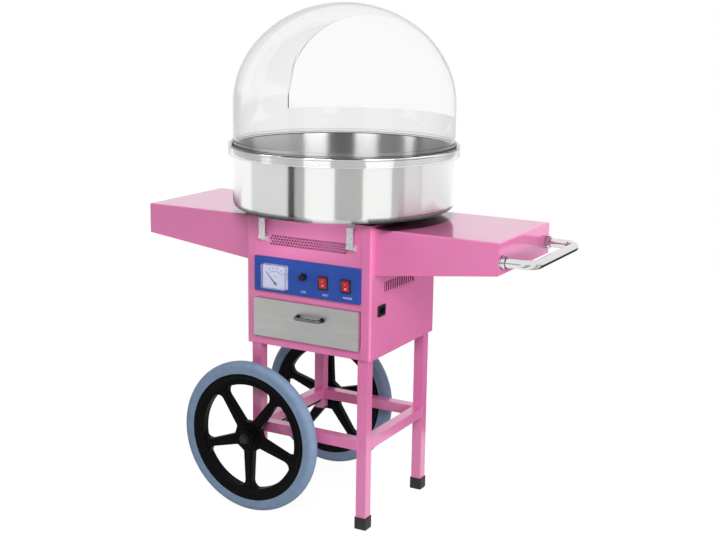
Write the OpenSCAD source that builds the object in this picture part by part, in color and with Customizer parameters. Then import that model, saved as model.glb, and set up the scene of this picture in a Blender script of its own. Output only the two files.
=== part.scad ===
// Cotton candy cart: a folded steel housing on a tube frame with two wheels, two side trays,
// a push handle, a spun bowl with a clear dome, and the spinner drive inside.
// Millimetres, +Z up, +X towards the push handle, the controls face -Y.

/* [Housing] */
// Width of the housing, side to side
housing_w = 328; // [318:1:350]
// Depth of the housing, front to back
housing_d = 322; // [314:1:340]
// Height of the housing with its top plate
housing_h = 308; // [300:1:330]
// Height of the housing's lower edge above the ground
ground_gap = 407; // [395:1:430]
// Thickness of the housing's steel sheet
sheet = 1.5; // [1:0.1:2]
// Outside radius of the housing's bends
bend_r = 5; // [3:0.5:8]
// Width of the flanges folded in at the front and the rear
flange_w = 24; // [18:1:27]
// Overlap of the front panel and rear cover behind the flanges
lap_w = 12; // [8:1:14]
// Height of the base plate's underside above the housing's lower edge
base_rise = 2; // [1:0.5:6]
// Thickness of the base plate
base_t = 2; // [1.5:0.5:3]
// Height of the base plate's folded side lips
base_lip = 12; // [6:1:15]
// Radius of the top plate's hole for the spinner drive
top_hole_r = 60; // [50:1:66]

/* [Frame] */
// Outside width of the square leg and rail tubes
tube_w = 25; // [20:1:28]
// Wall of the square tubes
tube_t = 2; // [1.5:0.5:3]
// Distance of each leg's centre inside the housing's side
leg_inset_x = 22; // [20:1:34]
// Distance of each leg's centre inside the housing's front and rear
leg_inset_y = 19; // [18:1:31]
// Gap between the axle and the rail above it
rail_gap = 1; // [1:0.5:20]
// Height of the rubber foot caps
foot_h = 28; // [18:1:40]
// Wall of the foot caps
foot_t = 2.5; // [1.5:0.5:4]
// Length of the left legs below the axle's centre
leg_tail = 20; // [15:1:30]
// Depth of the plugs in the left legs' ends
plug_h = 6; // [5:0.5:8]

/* [Wheels] */
// Diameter over the tyre
wheel_d = 366; // [340:2:380]
// Width of the tyre
tyre_w = 29; // [26:1:34]
// Radial thickness of the tyre
tyre_t = 28; // [24:1:34]
// Width of the flat left on the tyre's rounded tread
tread_w = 2; // [1:0.5:6]
// Radial thickness of the rim's ring
rim_t = 27; // [22:1:32]
// Width of the rim's ring at the tyre
rim_w = 26; // [22:1:30]
// Width of the rim's ring at its inner edge
rim_in_w = 18; // [14:1:22]
// Thickness of the spokes
spoke_t = 14; // [12:1:20]
// Number of spokes
spokes = 5; // [4:1:7]
// Half width of a spoke at the rim
spoke_rim_hw = 9.5; // [6:0.5:12]
// Half width of a spoke at the hub
spoke_hub_hw = 13; // [8:0.5:15]
// Corner radius of the windows at the rim
window_rim_r = 17; // [8:1:20]
// Corner radius of the windows at the hub
window_hub_r = 6; // [4:0.5:8]
// Radius of the web round the hub
hub_r = 38; // [34:1:42]
// Radius of the hub's barrel
barrel_r = 22; // [18:1:28]
// Width of the rib along each spoke
rib_w = 8; // [5:0.5:10]
// Length of the hub
hub_w = 44; // [40:1:52]
// Length of the sleeve between each wheel's hub and the leg
wheel_gap = 8.5; // [6:0.5:20]
// Diameter of the axle
axle_d = 12; // [10:1:16]
// Wall of the sleeve between leg and hub
spacer_t = 4; // [2:0.5:6]
// Thickness of the outer washers
washer_t = 1.6; // [1:0.2:3]
// Height of the axle nuts
nut_h = 7; // [5:0.5:10]
// Width across flats of the axle nuts
nut_af = 19; // [17:1:24]

/* [Controls] */
// Height of the drawer front above the housing's lower edge
drawer_rise = 23; // [18:1:30]
// Height of the drawer front, as a share of the housing's height
drawer_front_share = 0.2925; // [0.26:0.0005:0.32]
// Gap between the drawer front and the control panel
panel_gap = 17; // [8:1:24]
// Height of the control panel, as a share of the housing's height
panel_share = 0.26; // [0.24:0.001:0.285]
// Gap between the control panel and the front vent, as a share of the housing's height
vent_gap_share = 0.091; // [0.06:0.001:0.11]
// Height of the controls' centres, as a share of the control panel's height
control_share = 0.469; // [0.45:0.001:0.52]
// How far the control panel stands out of the front panel
panel_out = 8; // [6:0.5:10]
// Side gap of the control panel between the flanges
panel_side_gap = 1; // [0.5:0.5:3]
// Border of the front panel behind the control panel
panel_border = 9; // [6:1:10]
// Place of the meter along X, as a share of the panel's width
meter_place = -0.2905; // [-0.31:0.0005:-0.27]
// Width of the meter
meter_w = 66; // [64:1:76]
// Height of the meter
meter_h = 57; // [50:1:64]
// How far the meter stands out of the panel
meter_out = 12; // [10:0.5:16]
// Radius of the meter's barrel behind the panel
meter_barrel_r = 24; // [18:1:24]
// Length of the meter's barrel
meter_barrel_l = 36; // [25:1:45]
// Rim around the meter's dial
meter_rim = 3; // [2:0.5:4]
// Length of the meter's needle
needle_l = 32; // [26:1:34]
// Angle of the needle from upright at rest
needle_rest = 45; // [35:1:50]
// Place of the fuse holder along X, as a share of the panel's width
fuse_place = -0.02; // [-0.06:0.001:0]
// Height of the fuse holder above the other controls
fuse_lift = 8; // [0:1:10]
// Radius of the fuse cap
fuse_cap_r = 6.5; // [6.5:0.5:9]
// Length of the fuse cap
fuse_cap_l = 11; // [8:0.5:14]
// Radius of the fuse holder's barrel
fuse_barrel_r = 6.3; // [5.5:0.1:7]
// Place of the heat switch along X, as a share of the panel's width
heat_place = 0.163; // [0.13:0.001:0.17]
// Place of the power switch along X, as a share of the panel's width
power_place = 0.375; // [0.34:0.001:0.38]
// Width of a switch frame
switch_w = 25; // [22:0.5:28]
// Height of a switch frame
switch_h = 32; // [29:0.5:34]
// Width of the border of a switch frame
switch_border = 3.5; // [3:0.5:4]
// How far a switch frame stands out of the panel
switch_out = 2; // [1.5:0.5:3]
// Tilt of a rocker at rest
rocker_tilt = 10; // [6:1:12]

/* [Vents and inlet] */
// Distance of the front vent's ends inside the flanges
vent_inset = 37.5; // [37:0.5:60]
// Height of the front vent, as a share of the housing's height
vent_share = 0.078; // [0.066:0.001:0.09]
// Diameter of the front vent's perforations
vent_hole_d = 5; // [4:0.5:7]
// Spacing of the front vent's perforations
vent_pitch = 7.2; // [7:0.1:12]
// Distance of the side vents' front ends behind the housing's front
side_vent_inset = 61; // [55:1:85]
// Distance of the side vents' rear ends in front of the housing's rear
side_vent_back = 112; // [61:1:120]
// Height of the side vents
side_vent_h = 30; // [20:1:36]
// Gap between a tray's skirt and the side vent
side_vent_gap = 21; // [10:1:24]
// Width of one side vent slot
slot_w = 6; // [4:0.5:8]
// Spacing of the side vent slots
slot_pitch = 11; // [10:0.5:14]
// Thickness of the vent plates
vent_t = 1; // [0.8:0.1:1.5]
// Overlap of the vent plates behind their openings
vent_lap = 8; // [5:1:10]
// Gap between the side vent and the power inlet below it
inlet_gap = 22; // [14:1:24]
// Distance of the power inlet behind the housing's front
inlet_inset = 49; // [42:1:60]
// Width of the power inlet's face
inlet_w = 34; // [30:1:38]
// Height of the power inlet's face
inlet_h = 26; // [24:1:32]
// Depth of the power inlet behind the side panel
inlet_depth = 18; // [16:1:20]

/* [Drawer] */
// Overlap of the drawer front past each side of the drawer box
drawer_side = 8; // [7:0.5:18]
// Distance of the drawer box's back inside the housing's rear
drawer_back = 76; // [62:1:100]
// Overlap of the drawer front above the drawer box
drawer_top = 11; // [9:0.5:20]
// Height of the drawer box above its front's lower edge
drawer_lift = 5; // [3:0.5:8]
// Gap of the front panel's opening round the drawer box
drawer_gap = 2; // [1:0.5:3]
// Thickness of the drawer's sheet
drawer_t = 1.2; // [1:0.1:1.6]
// How far the drawer front stands out of the front panel
drawer_out = 11.5; // [8:0.5:14]
// Place of the drawer's pull along X, as a share of the panel's width
pull_place = 0.05; // [0:0.01:0.06]
// Place of the drawer's pull up the drawer front, as a share of its height
pull_rise = 0.65; // [0.5:0.01:0.7]
// Distance between the feet of the drawer's pull
pull_l = 64; // [56:1:80]
// Reach of the pull's bar out of the drawer front, at its centre
pull_reach = 18; // [17:1:26]
// Diameter of the pull's bar
pull_d = 8; // [6:0.5:9]
// Bend radius of the pull, at the bar's centre
pull_bend = 8; // [7:0.5:10]
// Gap between the drawer and its runners
drawer_clear = 0.3; // [0.2:0.1:0.8]
// Width of the runners' ledges
runner_ledge = 16; // [10:1:20]

/* [Trays and handle] */
// Length of each tray
tray_len = 292; // [240:1:320]
// Distance of the trays' long edges inside the housing's front and rear
tray_inset = 14; // [5:1:20]
// Drop of the trays' tops below the housing's top
tray_drop = 8; // [5:1:14]
// Height of a tray's skirt at its outer end
tray_end_h = 71; // [60:1:76]
// Height of a tray's skirt at the housing
tray_root_h = 105; // [90:1:112]
// Outside radius of the trays' folded edges
tray_fold_r = 3; // [2.5:0.5:6]
// Distance of the tray bolts inside the trays' long edges
tray_bolt_inset = 40; // [25:1:60]
// Height of the handle below the trays' tops
handle_drop = 43; // [36:1:45]
// Reach of the handle out of the tray's end
handle_reach = 85; // [66:1:96]
// Distance of the handle's arms inside the trays' long edges
handle_inset = 16; // [16:1:50]
// Diameter of the handle's tube
handle_d = 20; // [16:1:25]
// Wall of the handle's tube
handle_t = 1.5; // [1:0.5:2.5]
// Bend radius of the handle, at the tube's centre
handle_bend = 28; // [24:1:34]
// Radius of the handle's flanges
handle_flange_r = 15; // [14.5:0.5:16]

/* [Bowl and latches] */
// Outside diameter of the bowl's wall
bowl_d = 516; // [490:2:540]
// Height of the bowl with its rim
bowl_h = 144; // [130:1:160]
// Thickness of the bowl's sheet
bowl_t = 1.2; // [1:0.1:1.6]
// Radius of the bowl's bottom corner, outside
bowl_corner_r = 16; // [10:1:24]
// Radius of the rolled rim
bowl_roll_r = 3.2; // [2.5:0.1:4]
// Radius of the bowl's hole for the spinner
bowl_hole_r = 84; // [82:1:90]
// Height of the collar round the bowl's hole
bowl_collar_h = 20; // [12:1:26]
// Thickness of the gasket under the bowl
gasket_h = 8; // [6:0.5:12]
// Radial width of the gasket
gasket_w = 16; // [10:1:20]
// Distance of the latches inside the flanges
latch_inset = 25; // [22:1:30]
// Width of a latch lever
latch_w = 16; // [12:1:18]
// Height of the latch pins below the bowl
latch_drop = 61; // [50:1:64]
// Distance of the latch pins from the panel
latch_out = 10; // [9:0.5:13]
// Diameter of the latch pins
latch_pin_d = 3.5; // [3:0.5:4]
// Sheet of the latches and lugs
latch_t = 1.5; // [1.2:0.1:2]
// Drop of the lugs' lips below the bowl
lug_drop = 17; // [14:1:20]
// Gap between a latch hook and its lug
hook_gap = 0.3; // [0.2:0.1:0.6]

/* [Dome] */
// Distance of the dome's wall inside the bowl's wall
dome_inset = 1; // [0.5:0.5:4]
// Thickness of the dome
dome_t = 3; // [2:0.5:4]
// Height of the dome's straight wall above the rim
dome_wall_h = 93; // [80:1:110]
// Rise of the crown above the straight wall
dome_rise = 230; // [200:1:250]
// Distance of the mouth's plane behind the middle
mouth_y = 115; // [90:1:140]
// Height of the mouth's sill above the rim
mouth_sill = 63; // [40:1:75]
// Height of the rim band
band_h = 24; // [18:1:32]
// Thickness of the rim band
band_t = 3; // [2:0.5:4]
// Radial gap between the rim band and the bowl's rolled rim
band_gap = 2; // [1:0.5:4]

/* [Spinner drive] */
// Radius of the spinner head
head_r = 76; // [70:1:78]
// Height of the spinner's slotted band
head_band_h = 42; // [34:1:48]
// Gap between the bowl's bottom and the spinner head
head_rise = 14; // [10:1:20]
// Sheet of the spinner head
head_t = 3; // [2:0.5:4]
// Radius of the sugar opening in the spinner's cap
sugar_r = 30; // [27:1:36]
// Number of slots in the spinner's band
head_slots = 40; // [24:2:48]
// Diameter of the drive shaft
shaft_d = 12; // [10:1:14]
// Diameter of the heater's tube
heater_d = 9; // [7:0.5:10]
// Radius of the heater ring
heater_r = 56; // [50:1:58]
// Diameter of the motor
motor_d = 92; // [80:1:100]
// Height of the motor
motor_h = 84; // [70:1:95]
// Height of the motor's mounting band
motor_band = 12; // [8:1:16]
// Depth of the bearing under the shaft's lower end
motor_floor = 10; // [6:1:16]
// Wall of the bearing nose round the shaft
nose_t = 8; // [5:0.5:10]
// Depth of the motor bracket below the top plate
bracket_drop = 40; // [36:1:46]
// Length of the motor bracket's plate
bracket_w = 150; // [140:1:170]
// Depth of the motor bracket, front to back
bracket_d = 110; // [90:1:120]
// Sheet of the motor bracket
bracket_t = 2.5; // [2:0.5:3]

/* [Hidden] */
$fn = 64;

// Clearances: a turning fit, a fixed fit, a visible running gap and an overcut
run_gap = 0.05;
fit_gap = 0.02;
loose_gap = 0.3;
over = 1;

// Colours
pink = [0.93, 0.45, 0.66];
blue = [0.24, 0.33, 0.65];
steel = [0.75, 0.75, 0.74];
zinc = [0.62, 0.63, 0.64];
black = [0.10, 0.10, 0.11];
red = [0.75, 0.12, 0.14];
white = [0.92, 0.92, 0.90];
tyre_grey = [0.47, 0.56, 0.66];
clear = [0.85, 0.90, 0.92, 0.35];
brass = [0.80, 0.66, 0.30];

// Places along Z
top_z = ground_gap + housing_h;
wall_z = top_z - sheet;
base_z = ground_gap + base_rise;
drawer_front_h = drawer_front_share * housing_h;
drawer_z = ground_gap + drawer_rise;
panel_h = panel_share * housing_h;
panel_z = drawer_z + drawer_front_h + panel_gap;
control_z = panel_z + control_share * panel_h;
vent_h = vent_share * housing_h;
vent_z = panel_z + panel_h + vent_gap_share * housing_h;
tray_z = top_z - tray_drop;
side_vent_z = tray_z - tray_root_h - side_vent_gap - side_vent_h / 2;
inlet_z = side_vent_z - side_vent_h / 2 - inlet_gap - inlet_h / 2;
handle_z = tray_z - handle_drop;
axle_z = wheel_d / 2;
axle_r = axle_d / 2;
rail_z = axle_z + axle_r + rail_gap + tube_w / 2;
bowl_z = top_z + gasket_h;
rim_z = bowl_z + bowl_h;
pin_z = bowl_z - latch_drop;
lip_z = bowl_z - lug_drop;

// Places along X and Y
side_x = housing_w / 2;
panel_y = housing_d / 2 - sheet;
face_y = housing_d / 2;
bay_w = housing_w - 2 * flange_w;
panel_w = bay_w - 2 * panel_side_gap;
leg_x = side_x - leg_inset_x;
leg_y = face_y - leg_inset_y;
leg_out = leg_y + tube_w / 2;
hub_in = leg_out + wheel_gap;
wheel_y = hub_in + hub_w / 2;
hub_out = hub_in + hub_w;
meter_x = meter_place * panel_w;
fuse_x = fuse_place * panel_w;
heat_x = heat_place * panel_w;
power_x = power_place * panel_w;
vent_w = bay_w - 2 * vent_inset;
side_vent_w = housing_d - side_vent_inset - side_vent_back;
side_vent_y = (side_vent_inset - side_vent_back) / 2;
inlet_y = face_y - inlet_inset;
drawer_w = panel_w - 2 * drawer_side;
drawer_d = housing_d - drawer_back;
drawer_h = drawer_front_h - drawer_lift - drawer_top;
tray_x = side_x + tray_len;
tray_d = housing_d - 2 * tray_inset;
tray_bolt_y = tray_d / 2 - tray_bolt_inset;
handle_y = tray_d / 2 - handle_inset;
latch_x = bay_w / 2 - latch_inset;
machine_x = -handle_reach / 2;
bowl_r = bowl_d / 2;
dome_r = bowl_r - dome_inset;

// Puts the machine so that the whole cart is centred over the origin
module machine() {
  translate([machine_x, 0, 0]) children();
}

// Outline of a rectangle with round corners
module rounded_rect(w, h, r) {
  square([w - 2 * r, h], center = true);
  square([w, h - 2 * r], center = true);
  for (sx = [-1, 1], sy = [-1, 1]) {
    translate([sx * (w / 2 - r), sy * (h / 2 - r)]) circle(r);
  }
}

// Carries an outline drawn in X and Z along Y, centred
module along_y(length) {
  translate([0, length / 2, 0]) rotate([90, 0, 0]) linear_extrude(length) children();
}

// Carries an outline drawn in Y and Z along X, centred
module along_x(length) {
  translate([-length / 2, 0, 0]) rotate([90, 0, 90]) linear_extrude(length) children();
}

// Round bars along X and along Y, centred
module bar_x(r, length) {
  rotate([0, 90, 0]) cylinder(r = r, h = length, center = true);
}
module bar_y(r, length) {
  rotate([90, 0, 0]) cylinder(r = r, h = length, center = true);
}

// A plate in the X and Z plane from y to y + t
module wall_plate(x0, x1, z0, z1, y, t) {
  translate([x0, y, z0]) cube([x1 - x0, t, z1 - z0]);
}

// Points of an arc
function arc(c, r, a0, a1, n = 8) =
  [for (i = [0:n]) c + r * [cos(a0 + (a1 - a0) * i / n), sin(a0 + (a1 - a0) * i / n)]];

// Square tube outline
module tube_outline() {
  difference() {
    square(tube_w, center = true);
    square(tube_w - 2 * tube_t, center = true);
  }
}

// Legs: the right ones reach down into the foot caps, the left ones carry the axle
module leg(sx, sy) {
  low = sx > 0 ? foot_t : axle_z - leg_tail;
  difference() {
    translate([sx * leg_x, sy * leg_y, low]) linear_extrude(base_z - low) tube_outline();
    if (sx < 0) {
      translate([-leg_x, sy * leg_y, axle_z]) bar_y(axle_r + fit_gap, tube_w + 2 * over);
    }
  }
}
module leg_front_left() { color(pink) machine() leg(-1, -1); }
module leg_rear_left() { color(pink) machine() leg(-1, 1); }
module leg_front_right() { color(pink) machine() leg(1, -1); }
module leg_rear_right() { color(pink) machine() leg(1, 1); }

// Rails between the legs
module long_rail(sy) {
  translate([0, sy * leg_y, rail_z]) along_x(2 * leg_x - tube_w) tube_outline();
}
module cross_rail(sx) {
  translate([sx * leg_x, 0, rail_z]) along_y(2 * leg_y - tube_w) tube_outline();
}
module long_rails() { color(pink) machine() for (sy = [-1, 1]) long_rail(sy); }
module cross_rails() { color(pink) machine() for (sx = [-1, 1]) cross_rail(sx); }

// Foot caps over the right legs, and plugs in the open ends of the left ones
module foot_cap() {
  cap_w = tube_w + 2 * foot_t;
  difference() {
    linear_extrude(foot_h) rounded_rect(cap_w, cap_w, foot_t);
    translate([0, 0, foot_t]) linear_extrude(foot_h) square(tube_w, center = true);
  }
}
module leg_plug() {
  linear_extrude(foot_t) rounded_rect(tube_w, tube_w, foot_t);
  linear_extrude(foot_t + plug_h) square(tube_w - 2 * tube_t, center = true);
}
module foot_caps() {
  color(black) machine() for (sy = [-1, 1]) {
    translate([leg_x, sy * leg_y, 0]) foot_cap();
    translate([-leg_x, sy * leg_y, axle_z - leg_tail - foot_t]) leg_plug();
  }
}

// Axle through the left legs, with sleeves inside the wheels and washers and nuts outside
washer_y = hub_out + loose_gap;
nut_y = washer_y + washer_t + fit_gap;
module axle() {
  color(black) machine() translate([-leg_x, 0, axle_z]) bar_y(axle_r, 2 * (nut_y + nut_h + over));
}
module collar_y(y0, y1, r, bore) {
  translate([-leg_x, (y0 + y1) / 2, axle_z]) difference() {
    bar_y(r, y1 - y0);
    bar_y(bore, y1 - y0 + over);
  }
}
module axle_fittings() {
  bore = axle_r + fit_gap;
  color(black) machine() for (sy = [0, 1]) mirror([0, sy, 0]) {
    collar_y(leg_out, hub_in - loose_gap, axle_r + spacer_t, bore);
    collar_y(washer_y, washer_y + washer_t, nut_af / 2 + 2 * washer_t, bore);
    translate([-leg_x, nut_y, axle_z]) rotate([-90, 0, 0]) difference() {
      cylinder(d = nut_af / cos(30), h = nut_h, $fn = 6);
      translate([0, 0, -over]) cylinder(r = bore, h = nut_h + 2 * over);
    }
  }
}

// Wheels: a moulded rim with windows between the spokes, and a solid tyre
rim_r = wheel_d / 2 - tyre_t;
ring_r = rim_r - rim_t;
shoulder_r = (tyre_w - tread_w) / 2;
half_step = 180 / spokes;

// One window between two spokes, as arcs joined by their common tangents
function corner_angle(r, hw) = half_step - asin(hw / r);
function polar(r, a) = r * [cos(a), sin(a)];
function window_half() =
  let (
    f = window_rim_r,
    g = window_hub_r,
    out_r = ring_r + over,
    a_out = corner_angle(out_r - f, spoke_rim_hw + f),
    a_in = corner_angle(hub_r + g, spoke_hub_hw + g),
    c_out = polar(out_r - f, a_out),
    c_in = polar(hub_r + g, max(a_in, 0)),
    d = c_out - c_in,
    a_edge = atan2(d.y, d.x) + acos((g - f) / norm(d))
  )
  concat(
    arc([0, 0], out_r, 0, a_out, 6),
    arc(c_out, f, a_out, a_edge, 8),
    arc(c_in, g, a_edge, 180 + max(a_in, 0), 8)
  );
module spoke_window() {
  half = window_half();
  last = len(half) - 1;
  polygon(concat(half, [for (i = [last:-1:1]) [half[i].x, -half[i].y]]));
}

// Ring section: wide at the tyre, narrower inside, with a groove each side
module ring_section() {
  lip = rim_t / 4;
  polygon([
    [ring_r, -rim_in_w / 2], [rim_r - 2 * lip, -rim_in_w / 2], [rim_r - lip, -rim_w / 2],
    [rim_r, -rim_w / 2], [rim_r, rim_w / 2], [rim_r - lip, rim_w / 2],
    [rim_r - 2 * lip, rim_in_w / 2], [ring_r, rim_in_w / 2]
  ]);
}
module wheel_rim(first) {
  rib_t = rim_in_w - over;
  difference() {
    union() {
      rotate_extrude() ring_section();
      linear_extrude(spoke_t, center = true) difference() {
        circle(ring_r + 2 * over);
        for (i = [0:spokes - 1]) rotate(first + half_step + i * 2 * half_step) spoke_window();
      }
      for (i = [0:spokes - 1]) rotate(first + i * 2 * half_step) {
        translate([0, -rib_w / 2, -rib_t / 2]) cube([ring_r + over, rib_w, rib_t]);
      }
      cylinder(r = (hub_r + barrel_r) / 2, h = rim_w, center = true);
      cylinder(r = barrel_r, h = hub_w, center = true);
    }
    cylinder(r = axle_r + run_gap, h = hub_w + 2 * over, center = true);
  }
}
module tyre_section() {
  translate([rim_r, -tyre_w / 2]) square([tyre_t - shoulder_r, tyre_w]);
  translate([rim_r, -tread_w / 2]) square([tyre_t, tread_w]);
  for (s = [-1, 1]) translate([rim_r + tyre_t - shoulder_r, s * tread_w / 2]) circle(shoulder_r);
}
module on_axle(sy) {
  translate([-leg_x, sy * wheel_y, axle_z]) rotate([90, 0, 0]) children();
}
module front_wheel_rim() { color(black) machine() on_axle(-1) wheel_rim(270); }
module front_tyre() { color(tyre_grey) machine() on_axle(-1) rotate_extrude() tyre_section(); }
module rear_wheel_rim() { color(black) machine() on_axle(1) wheel_rim(90); }
module rear_tyre() { color(tyre_grey) machine() on_axle(1) rotate_extrude() tyre_section(); }

// Base plate with side lips, welded to the legs
module base_plate() {
  w = housing_w - 2 * sheet - 2 * loose_gap;
  d = housing_d - 2 * bend_r - 2 * sheet;
  color(pink) machine() translate([0, 0, base_z]) along_y(d) polygon([
    [-w / 2, 0], [w / 2, 0], [w / 2, base_lip], [w / 2 - base_t, base_lip],
    [w / 2 - base_t, base_t], [base_t - w / 2, base_t], [base_t - w / 2, base_lip], [-w / 2, base_lip]
  ]);
}

// Side panels: each is folded to a channel with a front and a rear flange
bolt_rows = [tray_z - tray_root_h * 0.2, tray_z - tray_root_h * 0.75];
bolt_r = 3;
module bolt_places() {
  for (sy = [-1, 1], z = bolt_rows) translate([side_x, sy * tray_bolt_y, z]) children();
}
inlet_lip = 2.5;
inlet_body_w = inlet_w - 2 * inlet_lip;
inlet_body_h = inlet_h - 2 * inlet_lip;
module side_panel() {
  difference() {
    translate([0, 0, ground_gap]) linear_extrude(wall_z - ground_gap) intersection() {
      difference() {
        rounded_rect(housing_w, housing_d, bend_r);
        rounded_rect(housing_w - 2 * sheet, housing_d - 2 * sheet, bend_r - sheet);
      }
      translate([side_x, 0]) square([2 * flange_w, housing_d + over], center = true);
    }
    translate([side_x, side_vent_y, side_vent_z]) {
      cube([4 * sheet, side_vent_w, side_vent_h], center = true);
    }
    bolt_places() bar_x(bolt_r + run_gap, 4 * sheet);
  }
}
module side_panel_left() { color(pink) machine() mirror([1, 0, 0]) side_panel(); }
module side_panel_right() {
  color(pink) machine() difference() {
    side_panel();
    translate([side_x, -inlet_y, inlet_z]) {
      cube([4 * sheet, inlet_body_w + 2 * run_gap, inlet_body_h + 2 * run_gap], center = true);
    }
  }
}

// Front panel and rear cover, lapped behind the flanges
cover_hw = bay_w / 2 + lap_w;
box_z = drawer_z + drawer_lift;
module front_panel() {
  hw = panel_w / 2 - panel_border;
  color(pink) machine() difference() {
    wall_plate(-cover_hw, cover_hw, ground_gap, wall_z, -panel_y, sheet);
    wall_plate(-hw, hw, panel_z + panel_border, panel_z + panel_h - panel_border, -face_y, 4 * sheet);
    wall_plate(-vent_w / 2, vent_w / 2, vent_z, vent_z + vent_h, -face_y, 4 * sheet);
    wall_plate(-drawer_w / 2 - drawer_gap, drawer_w / 2 + drawer_gap, box_z - drawer_gap,
      box_z + drawer_h + drawer_gap, -face_y, 4 * sheet);
  }
}
module rear_cover() {
  color(pink) machine() wall_plate(-cover_hw, cover_hw, ground_gap, wall_z, panel_y - sheet, sheet);
}
module top_plate() {
  color(pink) machine() translate([0, 0, wall_z]) linear_extrude(sheet) difference() {
    rounded_rect(housing_w, housing_d, bend_r);
    circle(top_hole_r);
  }
}

// Vent plates behind their openings: round perforations in front, slots at the sides
module front_vent() {
  hole_r = vent_hole_d / 2;
  row_step = vent_pitch * sin(60);
  columns = floor((vent_w - vent_hole_d) / vent_pitch - 0.5);
  rows = floor((vent_h - vent_hole_d) / row_step);
  color(pink) machine() difference() {
    wall_plate(-vent_w / 2 - vent_lap, vent_w / 2 + vent_lap, vent_z - vent_lap,
      vent_z + vent_h + vent_lap, sheet - panel_y, vent_t);
    for (i = [0:columns], k = [0:rows]) {
      stagger = (k % 2 - 0.5) / 2;
      translate([(i - columns / 2 + stagger) * vent_pitch, sheet - panel_y,
        vent_z + vent_h / 2 + (k - rows / 2) * row_step]) bar_y(hole_r, 4 * vent_t);
    }
  }
}
module side_vent() {
  slots = floor((side_vent_w - slot_w) / slot_pitch);
  plate_x = side_x - sheet - vent_t / 2;
  difference() {
    translate([plate_x, side_vent_y, side_vent_z]) {
      cube([vent_t, side_vent_w + 2 * vent_lap, side_vent_h + 2 * vent_lap], center = true);
    }
    for (i = [0:slots]) translate([plate_x, side_vent_y + (i - slots / 2) * slot_pitch, side_vent_z]) {
      cube([4 * vent_t, slot_w, side_vent_h - slot_w], center = true);
    }
  }
}
module side_vents() {
  color(pink) machine() for (sx = [0, 1]) mirror([sx, 0, 0]) side_vent();
}

// Control panel: a folded pan between the flanges with a hole for each control
switch_body_w = switch_w - switch_border;
switch_body_h = switch_h - switch_border;
control_y = -panel_y - panel_out;
module control_panel() {
  inner = [panel_w - 2 * sheet, panel_h - 2 * sheet];
  color(blue) machine() difference() {
    wall_plate(-panel_w / 2, panel_w / 2, panel_z, panel_z + panel_h, control_y, panel_out);
    wall_plate(-inner.x / 2, inner.x / 2, panel_z + sheet, panel_z + sheet + inner.y,
      control_y + sheet, panel_out);
    translate([meter_x, control_y, control_z]) bar_y(meter_barrel_r + loose_gap, 4 * sheet);
    translate([fuse_x, control_y, control_z + fuse_lift]) bar_y(fuse_barrel_r + loose_gap, 4 * sheet);
    for (x = [heat_x, power_x]) translate([x, control_y, control_z]) {
      cube([switch_body_w + 2 * loose_gap, 4 * sheet, switch_body_h + 2 * loose_gap], center = true);
    }
  }
}

// Puts a control on the panel's face, with local +Z out towards the user and local Y up
module on_panel(x, lift = 0) {
  translate([x, control_y, control_z + lift]) rotate([90, 0, 0]) children();
}

// Panel meter: a case with a sunk dial, a needle on a pivot and a clear lens
meter_r = 4;
case_out = meter_out * 0.4;
dial_sunk = 3;
dial_t = 0.8;
pivot_r = 1;
pivot_drop = meter_h * 0.27;
needle_z = case_out - dial_sunk + dial_t + loose_gap;
needle_hub_t = 1.6;
module meter_case() {
  color(white) machine() on_panel(meter_x) {
    difference() {
      linear_extrude(case_out) rounded_rect(meter_w, meter_h, meter_r);
      translate([0, 0, case_out - dial_sunk]) linear_extrude(case_out) {
        rounded_rect(meter_w - 2 * meter_rim, meter_h - 2 * meter_rim, meter_r - 1);
      }
    }
    translate([0, 0, -meter_barrel_l]) cylinder(r = meter_barrel_r, h = meter_barrel_l);
  }
}
module meter_dial() {
  border = meter_rim + run_gap;
  color(white) machine() on_panel(meter_x) translate([0, 0, case_out - dial_sunk]) {
    linear_extrude(dial_t) rounded_rect(meter_w - 2 * border, meter_h - 2 * border, meter_r - 1);
    translate([0, -pivot_drop, 0]) cylinder(r = pivot_r, h = dial_t + loose_gap + needle_hub_t);
  }
}
module meter_needle() {
  hub = 3;
  tip = 0.5;
  color(black) machine() on_panel(meter_x) translate([0, -pivot_drop, needle_z]) difference() {
    union() {
      cylinder(r = hub, h = needle_hub_t);
      rotate(needle_rest) linear_extrude(needle_hub_t / 2) {
        polygon([[-hub / 2, -2 * hub], [hub / 2, -2 * hub], [tip, needle_l], [-tip, needle_l]]);
      }
    }
    translate([0, 0, -over]) cylinder(r = pivot_r + run_gap, h = needle_hub_t + 2 * over);
  }
}
module meter_lens() {
  wall = 1.5;
  color(clear) machine() on_panel(meter_x) translate([0, 0, case_out]) difference() {
    linear_extrude(meter_out - case_out) rounded_rect(meter_w, meter_h, meter_r);
    translate([0, 0, -wall]) linear_extrude(meter_out - case_out) {
      rounded_rect(meter_w - 2 * wall, meter_h - 2 * wall, meter_r - wall);
    }
  }
}

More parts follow.
